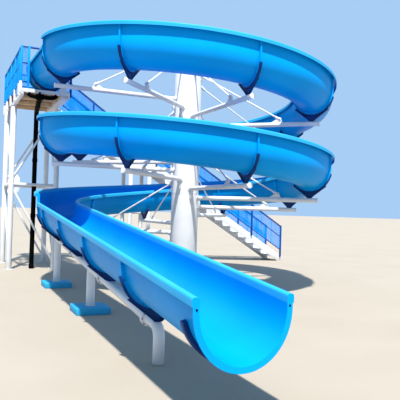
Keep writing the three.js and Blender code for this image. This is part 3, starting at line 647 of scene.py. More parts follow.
# %% [markdown]
# The column is a steel pipe over half a metre wide, with a cap plate, a base plate and gussets
# round its foot. A ring weld shows where two lengths of pipe meet. Cylinders and plates are all
# it takes, and the Bevel modifier rounds their rims.

# %% Column
COLUMN_TOP, BASE_RADIUS, BASE_THICKNESS, RING_WELD = 5.2, 0.48, 0.03, 1.9

shapes = [
    disc(COLUMN_RADIUS, 0.01, COLUMN_TOP),
    disc(COLUMN_RADIUS + 0.025, COLUMN_TOP - 0.02, COLUMN_TOP + 0.02),
    disc(BASE_RADIUS, 0, BASE_THICKNESS),
    disc(COLUMN_RADIUS + 0.004, RING_WELD, RING_WELD + 0.015),
    disc(COLUMN_RADIUS + 0.008, BASE_THICKNESS - 0.002, BASE_THICKNESS + 0.01),
]
low, high, rim = BASE_THICKNESS - 0.005, BASE_THICKNESS + 0.26, BASE_RADIUS - 0.04
gusset = [(COLUMN_SKIN, low), (rim, low), (rim, BASE_THICKNESS + 0.04),
          (COLUMN_RADIUS + 0.03, high), (COLUMN_SKIN, high)]
for i in range(8):
    turn = Matrix.Rotation((i + 0.5) * SECTION_ANGLE, 4, "Z")
    shapes += moved([plate(gusset, -0.008, 0.008)], turn)
fit(piece_of("column_pipe", shapes, [white_steel], STEEL_EDGE), "painted_steel", "column")

# %% [markdown]
# Under the straight run a sloping tube carries the saddles. It is bolted together from lengths
# with round flanges, stands on two posts and bends down at its end to be the third one. A tube
# bent through points keeps its round section in the elbow, where two joined cylinders would not.

# %% Run support
BEAM_RADIUS, POST_RADIUS, ROUND = 0.06, 0.064, 40
BEAM_TOP, BEAM_SLOPE, ELBOW, ELBOW_FALL = RUN_RIM - 0.69, 0.0977, 0.12, 0.012
POSTS, COUPLINGS = [0, 2.75, 5.68], [1.514, 3.44, 5.338]
COUPLING_PARTS = [(-0.03, -0.003, 0.088), (0.003, 0.03, 0.088), (-0.05, 0.05, 0.068)]
FIRST_POST_TOP, FOOTING_HEIGHT, POST_WELD = 0.985, 0.1, 0.012


def on_beam(along):
    """A place on the axis of the sloping tube."""
    return Vector((-TURN_RADIUS, -along, BEAM_TOP - BEAM_SLOPE * along))


corner = on_beam(POSTS[2])
elbow = bend_between(on_beam(POSTS[2] - ELBOW), corner, corner - Vector((0, 0, ELBOW)), 16)
shapes = [tube([on_beam(0), *elbow, (corner.x, corner.y, 0.004)], BEAM_RADIUS, ROUND)]
for along in COUPLINGS:
    for near, far, radius in COUPLING_PARTS:
        shapes.append(tube([on_beam(along + near), on_beam(along + far)], radius, ROUND))
for along, top in ((POSTS[0], FIRST_POST_TOP), (POSTS[1], on_beam(POSTS[1]).z)):
    for radius, high in ((POST_RADIUS, top), (POST_RADIUS + POST_WELD, FOOTING_HEIGHT + POST_WELD)):
        shapes.append(disc(radius, FOOTING_HEIGHT, high, -TURN_RADIUS, -along, ROUND))
fit(piece_of("run_support_tubes", shapes, [white_steel], STEEL_EDGE),
    "painted_steel", "run_support_frame")

for i, along in enumerate(RUN_JOINTS[:5]):
    slope, rim = RUN_SLOPE if i else COIL_SLOPE, RUN_RIM - RUN_SLOPE * along
    fall = ELBOW_FALL if along > POSTS[2] - ELBOW else 0
    under = on_beam(along).z + BEAM_RADIUS - fall if i else FIRST_POST_TOP
    place = Matrix.Translation((-TURN_RADIUS, -along, rim))
    cradle = moved(saddle(slope, under - WELDED_IN - rim, -1), place)
    fit(piece_of(f"run_saddle_{i + 1}", cradle, [navy_paint], STEEL_EDGE),
        "painted_steel", "run_support_frame")

# %% [markdown]
# Near the exit a navy rib goes round under the flume and keeps its free end in shape. It could be
# a bent bar, but one plate laid on the run's own path already fits the floor and leans with it.

# %% Exit rib
RIB_AT, RIB_HALF, RIB_HEIGHT, RIB_END = 7.19, 0.032, 0.042, -17
rib_line = [*floor_arc(BOWL + 0.0005, RIB_END, -180 - RIB_END, 40),
            *floor_arc(BOWL + RIB_HEIGHT, -180 - RIB_END, RIB_END, 40)]
rib = plate(rib_line, RIB_AT - RIB_HALF, RIB_AT + RIB_HALF, on_run)
fit(piece_of("exit_rib", [rib], [navy_paint], FRAME_EDGE), "flume_gelcoat", "run_section_5")

# %% [markdown]
# Each of the first two posts stands in a low block of concrete, cast in a shutter and painted
# turquoise. Its edges are worn round, which a wide bevel on a plain block shows well enough.

# %% Footings
for i in range(2):
    footing = block(-TURN_RADIUS, -POSTS[i], 0.25, 0, FOOTING_HEIGHT)
    fit(piece_of(f"footing_block_{i + 1}", [footing], [concrete], 0.008),
        "footing_paint", f"footing_{i + 1}")

# %% [markdown]
# The tower is four tubular legs on foot plates, tied by tubes half way up and by thin diagonals.
# A diagonal is flattened where it is bolted on, so a flat bar covers each end of a round one.
# Gusset plates on the left legs take the ends of the diagonals.

# %% Tower
LEG_RADIUS, BRACE_RADIUS, DIAGONAL_RADIUS = 0.065, 0.035, 0.026
LEFT, RIGHT, FRONT, BACK = -3.215, -2.17, 3.05, 4.6
BRACE = 2.04
DECK_TOP, LANDING_TOP = 4.065, 4.255
DECK_THICKNESS, JOIST_DEPTH, LANDING_THICKNESS = 0.03, 0.105, 0.06
UNDER_DECK = DECK_TOP - DECK_THICKNESS - JOIST_DEPTH
UNDER_LANDING = LANDING_TOP - LANDING_THICKNESS
FOOT_PLATE_HALF, FOOT_PLATE, HEAD_PLATE = 0.12, 0.016, 0.008


def flat_end(at, toward, length):
    """The flattened end of a diagonal, where it is bolted on."""
    at, toward = Vector(at), Vector(toward)
    return bar(at, at + (toward - at).normalized() * length, 0.012, 0.056)


for side, x in (("left", LEFT), ("right", RIGHT)):
    shapes = [tube([(x, FRONT, BRACE), (x, BACK, BRACE)], BRACE_RADIUS)]
    for y, top in ((FRONT, UNDER_DECK), (BACK, UNDER_LANDING)):
        shapes.append(disc(LEG_RADIUS, 0.004, top, x, y, ROUND))
        shapes.append(disc(LEG_RADIUS + 0.02, top - HEAD_PLATE, top, x, y, ROUND))
        shapes.append(block(x, y, FOOT_PLATE_HALF, 0, FOOT_PLATE))
    for start, end in (((x, BACK, UNDER_DECK - 0.2), (x, FRONT, BRACE + 0.18)),
                       ((x, BACK, BRACE - 0.18), (x, FRONT, 0.2))):
        shapes.append(tube([start, end], DIAGONAL_RADIUS, 16))
        shapes += [flat_end(start, end, 0.16), flat_end(end, start, 0.16)]
    fit(piece_of(f"tower_side_{side}", shapes, [white_steel], STEEL_EDGE),
        "painted_steel", f"tower_frame_{side}")

near, edge = LEFT + 0.05, LEFT + 0.12
corner_plate = [(near, BRACE - 0.24), (edge, BRACE - 0.24), (edge + 0.07, BRACE - 0.15),
                (edge + 0.07, BRACE + 0.15), (edge, BRACE + 0.24), (near, BRACE + 0.24)]
for side, y in (("front", FRONT), ("back", BACK)):
    shapes = [tube([(LEFT, y, BRACE), (RIGHT, y, BRACE)], BRACE_RADIUS),
              plate(corner_plate, y - 0.006, y + 0.006)]
    for start, end in (((LEFT, y, BRACE + 0.11), (RIGHT, y, UNDER_DECK - 0.04)),
                       ((LEFT, y, BRACE - 0.05), (RIGHT, y, 0.14))):
        shapes += [tube([start, end], DIAGONAL_RADIUS, 16), flat_end(end, start, 0.18)]
    fit(piece_of(f"tower_ties_{side}", shapes, [white_steel], STEEL_EDGE),
        "painted_steel", f"tower_bracing_{side}")

# %% [markdown]
# Boards, bolts, treads and mesh repeat hundreds of times, so Geometry Nodes place them: one tree
# per kind, with its spacing, size and material as inputs. An Array modifier can't follow a flange
# round the flume or fill bays of different lengths. Each result is made real at once.

# %% Repeats
def new_tree(name, inputs):
    """An empty tree with geometry in and out, and named inputs."""
    tree = bpy.data.node_groups.new(name, "GeometryNodeTree")
    for label, kind in {"Geometry": "Geometry", **inputs, "Material": "Material"}.items():
        tree.interface.new_socket(label, in_out="INPUT", socket_type="NodeSocket" + kind)
    tree.interface.new_socket("Geometry", in_out="OUTPUT", socket_type="NodeSocketGeometry")
    return tree, add(tree, "NodeGroupInput").outputs


def hand_out(tree, geometry, material):
    """The end of every tree: real geometry with its material."""
    real = made_by(tree, "GeometryNodeRealizeInstances", {"Geometry": geometry})
    done = made_by(tree, "GeometryNodeSetMaterial", {"Geometry": real, "Material": material})
    add(tree, "NodeGroupOutput", {"Geometry": done})
    print("tree", tree.name, "has", len(tree.nodes), "nodes")


ONE_POINT = [[(0, 0, 0)]]


def repeated(name, lines, tree, values, axes=None):
    """An object on lines of points, run through a tree. Each point may have an axis."""
    points = [Vector(p) for line in lines for p in line]
    edges, start = [], 0
    for line in lines:
        edges += [(start + i, start + i + 1) for i in range(len(line) - 1)]
        start += len(line)
    mesh = bpy.data.meshes.new(name)
    mesh.from_pydata(points, edges, [])
    if axes:
        layer = mesh.attributes.new("axis", "FLOAT_VECTOR", "POINT")
        layer.data.foreach_set("vector", [c for axis in axes for c in axis])
    piece = bpy.data.objects.new(name, mesh)
    bpy.context.scene.collection.objects.link(piece)
    repeat = piece.modifiers.new("repeat", "NODES")
    repeat.node_group = tree
    for item in tree.interface.items_tree:
        if item.in_out == "INPUT" and item.name in values:
            repeat[item.identifier] = values[item.name]
    made_real(piece)
    return smoothed(piece)


print("rows of boards and treads start from", ONE_POINT[0][0])

# %% [markdown]
# A bolt is a hexagon through a round washer. It could be copied by hand to every hole, but a tree
# puts one on each point with its length along the point's own axis, and can first space the
# points evenly along a line. Threads are too fine to show at this size and are left out.

# %% Bolt tree
HEAD_SIDES, WASHER_SIDES = 6, 16


def bolt_tree(name, spaced):
    """A bolt on each point, or at even spaces along each line."""
    tree, given = new_tree(name, {"Spacing": "Float", "Radius": "Float", "Grip": "Float"})
    points = given["Geometry"]
    if spaced:
        curve = made_by(tree, "GeometryNodeMeshToCurve", {"Mesh": points})
        points = made_by(tree, "GeometryNodeResampleCurve", {
            "Curve": curve, "Length": given["Spacing"]}, mode="LENGTH")
    parts = []
    for sides, wider, longer in ((HEAD_SIDES, 1.0, 1.5), (WASHER_SIDES, 1.7, 0.4)):
        wide = made_by(tree, "ShaderNodeMath", {
            0: given["Radius"], 1: wider}, operation="MULTIPLY")
        long = made_by(tree, "ShaderNodeMath", {
            0: given["Radius"], 1: longer, 2: given["Grip"]}, operation="MULTIPLY_ADD")
        parts.append(made_by(tree, "GeometryNodeMeshCylinder", {
            "Vertices": sides, "Radius": wide, "Depth": long}))
    bolt = add(tree, "GeometryNodeJoinGeometry")
    for part in parts:
        tree.links.new(part, bolt.inputs[0])
    axis = made_by(tree, "GeometryNodeInputNamedAttribute", {"Name": "axis"},
                   data_type="FLOAT_VECTOR")
    turn = made_by(tree, "FunctionNodeAlignRotationToVector", {"Vector": axis}, axis="Z")
    placed = made_by(tree, "GeometryNodeInstanceOnPoints", {
        "Points": points, "Instance": bolt.outputs[0], "Rotation": turn})
    hand_out(tree, placed, given["Material"])
    return tree


spaced_bolts = bolt_tree("bolts_along_lines", True)
single_bolts = bolt_tree("bolts_on_points", False)

# %% [markdown]
# Bolts pull each pair of flanges together, all round under the lip. They wear the navy paint of
# the saddles. Placing each by hand would take hundreds of copies, so a line drawn round the flume
# at each joint tells the tree where they go, and the way the flume runs there is their axis.

# %% Flange bolts
BOLT_LINE, BOLT_LEVEL, BOLT_SPACING, BOLT_RADIUS = BOWL + 0.021, -0.11, 0.15, 0.006
joints = [(on_coil, i * SECTION_LENGTH, OUTER_RISE if 0 < i < COIL_SECTIONS else 0)
          for i in range(COIL_SECTIONS + 1)]
joints += [(on_entry, ENTRY_JOINTS[1], 0)] + [(on_run, along, 0) for along in RUN_JOINTS[1:5]]
lines, axes = [], []
for lay, along, rise in joints:
    line = [(BOLT_LINE, rise + BOLT_LEVEL), *floor_arc(BOLT_LINE, 0, -180, 24),
            (-BOLT_LINE, BOLT_LEVEL)]
    lines.append([lay(u, v, along) for u, v in line])
    axes += [(lay(u, v, along + 0.01) - lay(u, v, along - 0.01)).normalized() for u, v in line]
bolts = repeated("flange_bolts", lines, spaced_bolts, {
    "Spacing": BOLT_SPACING, "Radius": BOLT_RADIUS, "Grip": 2 * FLANGE_LENGTH,
    "Material": navy_paint}, axes)
fit(bolts, "flume_gelcoat")

# %% [markdown]
# Anchor bolts hold the foot plates down, smaller bolts join the lengths of the sloping tube, and
# a black plug closes a hole at each side of the exit. The same tree makes them all: only the
# points, the axis and the sizes differ.

# %% Anchor and coupling bolts
UP, ACROSS = (0, 0, 1), Vector((1, 0, 0))
FOOT_BOLTS, BASE_CIRCLE, COUPLING_CIRCLE = 0.09, 0.43, 0.074
points = [(x + a * FOOT_BOLTS, y + b * FOOT_BOLTS, FOOT_PLATE)
          for x in (LEFT, RIGHT) for y in (FRONT, BACK) for a in (-1, 1) for b in (-1, 1)]
points += [(u, v, BASE_THICKNESS) for u, v in arc(0, 0, BASE_CIRCLE, 11.25, 348.75, 15)]
anchors = repeated("anchor_bolts", [points], single_bolts, {
    "Radius": 0.013, "Grip": 0.006, "Material": zinc}, [UP] * len(points))
fit(anchors, "painted_steel")

beam_way = (on_beam(1) - on_beam(0)).normalized()
upward = ACROSS.cross(beam_way)
points = [on_beam(along) + ACROSS * u + upward * v
          for along in COUPLINGS for u, v in arc(0, 0, COUPLING_CIRCLE, 0, 315, 7)]
coupling_bolts = repeated("coupling_bolts", [points], single_bolts, {
    "Radius": 0.008, "Grip": 0.06, "Material": zinc}, [beam_way] * len(points))
fit(coupling_bolts, "painted_steel")

points = [on_run(side * (BOWL + 0.012), -0.09, RUN_JOINTS[-1]) for side in (-1, 1)]
plugs = repeated("exit_plugs", [points], single_bolts, {
    "Radius": 0.005, "Grip": 0.004, "Material": pipe_black}, [(0, -1, 0)] * len(points))
fit(plugs, "flume_gelcoat")

# %% [markdown]
# The platform is a welded floor of hollow sections, with a wider one under the flume and a front
# beam that carries the first flume joint. Timber joists cross it under the boards. The rail posts
# on its left edge stand in white sockets, square at the foot and narrower above, lofted from
# three rings each.

# %% Platform frame
DECK_LEFT, DECK_RIGHT, DECK_FRONT, DECK_BACK = -3.22, -2.19, 1.56, 3.62
FRAME_TOP, BEAM_WIDTH, WIDE_BEAM = DECK_TOP - DECK_THICKNESS, 0.06, 0.18
JOISTS, LEFT_POSTS = [2.135, 2.87, 3.56], [1.62, 1.9, 2.69, 3.54, 4.38, 5.13]
RAIL_SIZE, SIDE_GAP = 0.045, 0.0228
SOCKET_RINGS = [(0.03, -0.1), (0.03, 0.05), (0.024, 0.16)]

deck_start = DECK_FRONT + BEAM_WIDTH
left_beam, wide_beam = DECK_LEFT + BEAM_WIDTH, DECK_RIGHT - WIDE_BEAM
shapes = [slab(x0, x1, deck_start - 0.005, DECK_BACK, UNDER_DECK, FRAME_TOP - 0.0005)
          for x0, x1 in ((DECK_LEFT, left_beam), (wide_beam, DECK_RIGHT))]
shapes.append(slab(DECK_LEFT, DECK_RIGHT, DECK_FRONT, deck_start - 0.0005, DECK_TOP - 0.075,
                   DECK_TOP))
shapes += [slab(x, x + 0.04, DECK_FRONT + 0.004, deck_start + 0.1, UNDER_DECK + 0.004,
                FRAME_TOP - 0.002) for x in (DECK_LEFT, DECK_RIGHT - 0.04)]
joists = [slab(left_beam - 0.001, wide_beam + 0.001, y, y + BEAM_WIDTH, UNDER_DECK + 0.004,
               FRAME_TOP - 0.001) for y in JOISTS]
fit(piece_of("deck_joists", joists, [joist_timber], FRAME_EDGE), "deck_wood", "platform_frame")

entry_rim = START_RIM + ENTRY_SLOPE * ENTRY_JOINTS[1]
foot = DECK_TOP - WELDED_IN - entry_rim
place = Matrix.Translation((-TURN_RADIUS, ENTRY_JOINTS[1], entry_rim))
stiffener = [(0.205, foot), floor_arc(STRAP_INSIDE, -60, -60, 1)[0],
             floor_arc(STRAP_INSIDE, -30, -30, 1)[0], (0.383, foot)]
shapes += moved([plate(stiffener, -0.02, 0.02)], place)
rail_x = DECK_LEFT - SIDE_GAP
shapes += [loft([[(rail_x + a * half, y + b * half, DECK_TOP + level) for a, b in CORNERS]
                 for half, level in SOCKET_RINGS]) for y in LEFT_POSTS]
fit(piece_of("platform_beams", shapes, [white_steel], FRAME_EDGE),
    "painted_steel", "platform_frame")
fit(piece_of("start_saddle", moved(saddle(ENTRY_SLOPE, foot, -1), place), [navy_paint],
             STEEL_EDGE), "painted_steel", "platform_frame")

# %% [markdown]
# The deck is softwood boards screwed to the joists, each a little higher or lower than the next.
# The tree lays them side by side, rounds their edges and gives each its own tone, which one
# board repeated by an Array modifier could not have.

# %% Boards
BOARD_GAP, BOARD_ROUND, SUNK = 0.006, 0.004, 0.0015


def board_tree():
    """Boards side by side: a row of lines, given a rounded section."""
    tree, given = new_tree("boards_side_by_side", {
        "Boards": "Int", "Start": "Vector", "Pitch": "Vector", "Board": "Vector",
        "Width": "Float", "Thickness": "Float", "Seed": "Int"})
    row = made_by(tree, "GeometryNodeMeshLine", {
        "Count": given["Boards"], "Start Location": given["Start"], "Offset": given["Pitch"]})
    board = made_by(tree, "GeometryNodeCurvePrimitiveLine", {"End": given["Board"]})
    laid = made_by(tree, "GeometryNodeInstanceOnPoints", {"Points": row, "Instance": board})
    tone = add(tree, "FunctionNodeRandomValue", {"Seed": given["Seed"]},
               data_type="FLOAT").outputs["Value"]
    laid = made_by(tree, "GeometryNodeStoreNamedAttribute", {
        "Geometry": laid, "Name": "board", "Value": tone}, domain="INSTANCE")
    curves = made_by(tree, "GeometryNodeRealizeInstances", {"Geometry": laid})
    uneven = made_by(tree, "FunctionNodeRandomValue", {
        "Min": (0, 0, -SUNK), "Max": (0, 0, 0), "Seed": given["Seed"]}, data_type="FLOAT_VECTOR")
    curves = made_by(tree, "GeometryNodeSetPosition", {"Geometry": curves, "Offset": uneven})
    curves = made_by(tree, "GeometryNodeSetCurveNormal", {"Curve": curves}, mode="Z_UP")
    section = made_by(tree, "GeometryNodeCurvePrimitiveQuadrilateral", {
        "Width": given["Width"], "Height": given["Thickness"]})
    section = made_by(tree, "GeometryNodeFilletCurve", {
        "Curve": section, "Count": 2, "Radius": BOARD_ROUND}, mode="POLY")
    solid = made_by(tree, "GeometryNodeCurveToMesh", {
        "Curve": curves, "Profile Curve": section, "Fill Caps": True})
    hand_out(tree, solid, given["Material"])
    return tree


side_by_side = board_tree()
count = 7
pitch = (DECK_RIGHT - DECK_LEFT + BOARD_GAP) / count
first = (DECK_LEFT + (pitch - BOARD_GAP) / 2, deck_start, DECK_TOP - DECK_THICKNESS / 2)
deck = repeated("start_deck_boards", ONE_POINT, side_by_side, {
    "Boards": count, "Start": first, "Pitch": (pitch, 0.0, 0.0),
    "Board": (0.0, DECK_BACK - deck_start, 0.0), "Width": pitch - BOARD_GAP,
    "Thickness": DECK_THICKNESS, "Seed": 3, "Material": deck_boards})
fit(deck, "deck_wood", "start_deck")

# %% [markdown]
# The landing lies one step above the deck. Its boards run across, on bearers of the same wood,
# and one board stands on edge to close the step. The same tree lays them with another seed, so
# their tones don't repeat the deck's.

# %% Landing
LANDING_LEFT, LANDING_RIGHT, LANDING_FRONT, LANDING_BACK = DECK_LEFT, -2.05, 3.56, 5.16
BOARD_DEPTH, BEARER = 0.03, 0.06
count = 11
pitch = (LANDING_BACK - LANDING_FRONT + BOARD_GAP) / count
first = (LANDING_LEFT, LANDING_FRONT + (pitch - BOARD_GAP) / 2, LANDING_TOP - BOARD_DEPTH / 2)
landing = repeated("landing_boards", ONE_POINT, side_by_side, {
    "Boards": count, "Start": first, "Pitch": (0.0, pitch, 0.0),
    "Board": (LANDING_RIGHT - LANDING_LEFT, 0.0, 0.0), "Width": pitch - BOARD_GAP,
    "Thickness": BOARD_DEPTH, "Seed": 8, "Material": landing_boards})
fit(landing, "deck_wood", "upper_landing")

under = LANDING_TOP - BOARD_DEPTH - 0.0005
middle = (LANDING_LEFT + LANDING_RIGHT - BEARER) / 2
shapes = [slab(x, x + BEARER, LANDING_FRONT, LANDING_BACK, UNDER_LANDING, under)
          for x in (LANDING_LEFT, middle, LANDING_RIGHT - BEARER)]
shapes += [slab(LANDING_LEFT, LANDING_RIGHT, y, y + BEARER, UNDER_LANDING, under)
           for y in (LANDING_FRONT, BACK - BEARER / 2, LANDING_BACK - BEARER)]
shapes.append(slab(DECK_LEFT, DECK_RIGHT, LANDING_FRONT, DECK_BACK, DECK_TOP + 0.0005,
                   UNDER_LANDING))
fit(piece_of("landing_bearers", shapes, [landing_boards], FRAME_EDGE),
    "deck_wood", "upper_landing")

# %% [markdown]
# The stair climbs in two flights with a landing between them. The treads are folded steel pans
# with three grip ribs, hung between plate stringers. The pans are alike, so one is drawn, and a
# tree repeats it down each flight with the number and the step as inputs.

# %% Stair
RISERS, UPPER_TREADS, LOWER_TREADS = 24, 7, 15
RISE, GOING = LANDING_TOP / RISERS, 0.287
STAIR_NEAR, STAIR_FAR, STRINGER_HALF, STRINGER_DEPTH = 4.29, 5.13, 0.006, 0.25
MID_START = LANDING_RIGHT + UPPER_TREADS * GOING
MID_TOP, MID_LENGTH, MID_THICKNESS = LANDING_TOP - (UPPER_TREADS + 1) * RISE, 0.941, 0.12
LOWER_START = MID_START + MID_LENGTH
STAIR_PITCH = RISE / GOING
TREAD, SHEET, FOLD = 0.035, 0.005, 0.02


def stringer(y, start, top, treads, to_ground):
    """The side plate of a flight. The lower flight's is cut level where it meets the ground."""
    def line(x):
        return top + 0.04 - STAIR_PITCH * (x - start + GOING * 0.4)

    end = start + treads * GOING
    outline = [(start, line(start)), (end, line(end))]
    outline += [(end, 0), (end - 0.15, 0)] if to_ground else [(end, line(end) - STRINGER_DEPTH)]
    outline.append((start, line(start) - STRINGER_DEPTH))
    return plate(outline, y - STRINGER_HALF, y + STRINGER_HALF)


def tread_tree(pan):
    """One pan, repeated down a flight."""
    tree, given = new_tree("treads_down_a_flight", {
        "Treads": "Int", "Start": "Vector", "Step": "Vector"})
    row = made_by(tree, "GeometryNodeMeshLine", {
        "Count": given["Treads"], "Start Location": given["Start"], "Offset": given["Step"]})
    shape = add(tree, "GeometryNodeObjectInfo", {"Object": pan}).outputs["Geometry"]
    placed = made_by(tree, "GeometryNodeInstanceOnPoints", {"Points": row, "Instance": shape})
    hand_out(tree, placed, given["Material"])
    return tree


back, face, low = -FOLD, GOING - 0.0005, SHEET - TREAD
fold = [(back, -TREAD), (back + FOLD, -TREAD), (back + FOLD, low), (back + SHEET, low),
        (back + SHEET, -SHEET), (face - SHEET, -SHEET), (face - SHEET, low),
        (face - FOLD, low), (face - FOLD, -TREAD), (face, -TREAD), (face, 0), (back, 0)]
near, far = STAIR_NEAR + STRINGER_HALF, STAIR_FAR - STRINGER_HALF
pan = piece_of("tread_pan", [plate(fold, near, far)] + [
    slab(x - 0.004, x + 0.004, near + 0.04, far - 0.04, -0.002, 0.002)
    for x in (0.17, 0.205, 0.24)], [white_steel], 0.001)
down_a_flight = tread_tree(pan)
for name, start, top, treads in (("upper", LANDING_RIGHT, LANDING_TOP, UPPER_TREADS),
                                 ("lower", LOWER_START, MID_TOP, LOWER_TREADS)):
    sides = [stringer(y, start, top, treads, name == "lower") for y in (STAIR_NEAR, STAIR_FAR)]
    fit(piece_of(f"{name}_stringers", sides, [white_steel], STEEL_EDGE),
        "painted_steel", f"{name}_flight")
    flight = repeated(f"{name}_treads", ONE_POINT, down_a_flight, {
        "Treads": treads, "Start": (start, 0.0, top - RISE), "Step": (GOING, 0.0, -RISE),
        "Material": white_steel})
    fit(flight, "painted_steel", f"{name}_flight")
bpy.data.objects.remove(pan)

# %% [markdown]
# The middle landing is a shallow steel tray on four posts, with bearers across it and ties half
# way up its posts. A box hollowed by a Boolean would look the same from above, but single plates
# and tubes, as a welder would join them, are right from below too.

# %% Middle landing
MID_POST, SKIN, LEG_INSET = 0.057, 0.01, 0.19
y0, y1, x0, x1 = STAIR_NEAR - 0.006, STAIR_FAR + 0.006, MID_START, LOWER_START
low, high = MID_TOP - MID_THICKNESS, MID_TOP - 0.004
shapes = [slab(x0, x1, y0, y1, MID_TOP - 0.008, MID_TOP)]
shapes += [slab(x0, x1, y, y + SKIN, low, high) for y in (y0, y1 - SKIN)]
shapes += [slab(x, x + SKIN, y0, y1, low, high) for x in (x0, x1 - SKIN)]
post_x, post_y = (x0 + LEG_INSET, x1 - LEG_INSET), (STAIR_NEAR + 0.06, STAIR_FAR - 0.06)
for x in post_x:
    shapes.append(slab(x - 0.03, x + 0.03, y0 + 0.005, y1 - 0.005, low, MID_TOP - 0.006))
    shapes.append(tube([(x, y, MID_TOP / 2) for y in post_y], BRACE_RADIUS))
    for y in post_y:
        shapes += [disc(MID_POST, 0.003, low + 0.01, x, y, 32), block(x, y, 0.1, 0, 0.014)]
shapes += [tube([(x, y, MID_TOP / 2) for x in post_x], BRACE_RADIUS) for y in post_y]
fit(piece_of("middle_landing", shapes, [white_steel], STEEL_EDGE), "painted_steel", "mid_landing")

# %% [markdown]
# The railings have square posts with caps, three rails and a welded mesh in every bay. A picture
# of a mesh on a flat sheet would vanish edge on, so a tree lays real wires. They are drawn 9.6 mm
# thick, about twice as thick as such wires are, because finer ones would not show. Seen along the
# railing they close up to a blue sheet.

# %% Railings
RAIL_HEIGHT, STAIR_RAIL_HEIGHT, POST_CAP = 0.91, 0.89, 0.026
MID_RAIL, BOTTOM_RAIL, TOP_SIZE, LOW_SIZE = 0.56, 0.15, 0.036, 0.024
BAY_BARS, BAR_HALF, MESH_SPACING, WIRE_RADIUS = 2, 0.007, 0.025, 0.0048


def mesh_tree():
    """Upright and level wires over each line, up to a height."""
    tree, given = new_tree("mesh_in_bays", {"Height": "Float", "Spacing": "Float", "Wire": "Float"})
    low = made_by(tree, "GeometryNodeMeshToCurve", {"Mesh": given["Geometry"]})
    stations = made_by(tree, "GeometryNodeResampleCurve", {
        "Curve": low, "Length": given["Spacing"]}, mode="LENGTH")
    top = made_by(tree, "ShaderNodeCombineXYZ", {"Z": given["Height"]})
    upright = made_by(tree, "GeometryNodeCurvePrimitiveLine", {"End": top})
    step = made_by(tree, "ShaderNodeCombineXYZ", {"Z": given["Spacing"]})
    rows = made_by(tree, "ShaderNodeMath", {
        0: given["Height"], 1: given["Spacing"]}, operation="DIVIDE")
    levels = made_by(tree, "GeometryNodeMeshLine", {"Count": rows, "Offset": step})
    both = add(tree, "GeometryNodeJoinGeometry")
    for points, wire in ((stations, upright), (levels, low)):
        laid = made_by(tree, "GeometryNodeInstanceOnPoints", {"Points": points, "Instance": wire})
        tree.links.new(laid, both.inputs[0])
    wires = made_by(tree, "GeometryNodeRealizeInstances", {"Geometry": both.outputs[0]})
    section = made_by(tree, "GeometryNodeCurvePrimitiveCircle", {
        "Resolution": 4, "Radius": given["Wire"]})
    solid = made_by(tree, "GeometryNodeCurveToMesh", {"Curve": wires, "Profile Curve": section})
    hand_out(tree, solid, given["Material"])
    return tree


mesh_in_bays = mesh_tree()

# %% [markdown]
# Top rails carry the darker blue, bars and mesh the lighter one. Posts and lower rails are dark
# too, except on the left railing. Every railing follows a line of floor points, so the same few
# functions make the level ones and the ones down the stair.

# %% Posts and rails
RAIL_PAINT, LOWER_PAINT, BAR_PAINT = 0, 1, 2


def rail_post(x, y, low, top):
    """A square post with a flat cap."""
    return [block(x, y, RAIL_SIZE / 2, low, top - 0.005),
            block(x, y, RAIL_SIZE / 2 + 0.002, top - 0.006, top)]


def lifted(point, rise):
    """The place above a point."""
    return Vector(point) + Vector((0, 0, rise))


def railing(line, height, posts_down):
    """Posts, rails and bars along floor points, and the bays that mesh goes into."""
    rails = ((height, TOP_SIZE, RAIL_PAINT), (MID_RAIL, LOW_SIZE, LOWER_PAINT),
             (BOTTOM_RAIL, LOW_SIZE, LOWER_PAINT))
    shapes, bays = [], []
    for x, y, z in line:
        post = rail_post(x, y, z - posts_down, z + height + POST_CAP)
        shapes += [painted(part, LOWER_PAINT) for part in post]
    for a, b in zip(line, line[1:]):
        for rise, size, slot in rails:
            shapes.append(painted(bar(lifted(a, rise), lifted(b, rise), size, size), slot))
        for i in range(1, BAY_BARS + 1):
            x, y, z = Vector(a).lerp(Vector(b), i / (BAY_BARS + 1))
            shapes.append(painted(block(x, y, BAR_HALF, z + BOTTOM_RAIL, z + height), BAR_PAINT))
        bays.append([lifted(a, BOTTOM_RAIL), lifted(b, BOTTOM_RAIL)])
    return shapes, bays


def add_railing(name, node, shapes, bays, height, lower_paint=rail_blue):
    """The piece of a railing, and the mesh in its bays."""
    fit(piece_of(name, shapes, [rail_blue, lower_paint, mesh_blue], FRAME_EDGE),
        "railing_paint", node)
    mesh = repeated(name + "_mesh", bays, mesh_in_bays, {
        "Height": height - BOTTOM_RAIL, "Spacing": MESH_SPACING, "Wire": WIRE_RADIUS,
        "Material": mesh_blue})
    fit(mesh, "railing_paint", node)


print("posts are", RAIL_SIZE, "m square")

# %% [markdown]
# The left railing climbs slightly towards the landing and turns in at the front. The right one
# leaves the boarding side open under a single bar, and a round bar spans the start. Their mesh
# goes into the bays that the posts leave.

# %% Platform railings
front, return_x, rail_top = LEFT_POSTS[0], -3.085, DECK_TOP + RAIL_HEIGHT
LEFT_CLIMB, RIGHT_POSTS = 0.019, (2.42, 3.52)
line = [(rail_x, y, DECK_TOP + LEFT_CLIMB * (y - front)) for y in LEFT_POSTS]
shapes, bays = railing(line, RAIL_HEIGHT, 0.09)
return_post = rail_post(return_x, front, DECK_TOP + 0.0005, rail_top + POST_CAP)
shapes += [painted(part, LOWER_PAINT) for part in return_post]
for rise in (RAIL_HEIGHT, MID_RAIL, BOTTOM_RAIL):
    shapes.append(bar((rail_x, front, DECK_TOP + rise), (return_x, front, DECK_TOP + rise),
                      0.027, 0.027))
bays.append([(x, front, DECK_TOP + BOTTOM_RAIL) for x in (rail_x, return_x)])
add_railing("left_rail", "left_railing", shapes, bays, RAIL_HEIGHT, mesh_blue)

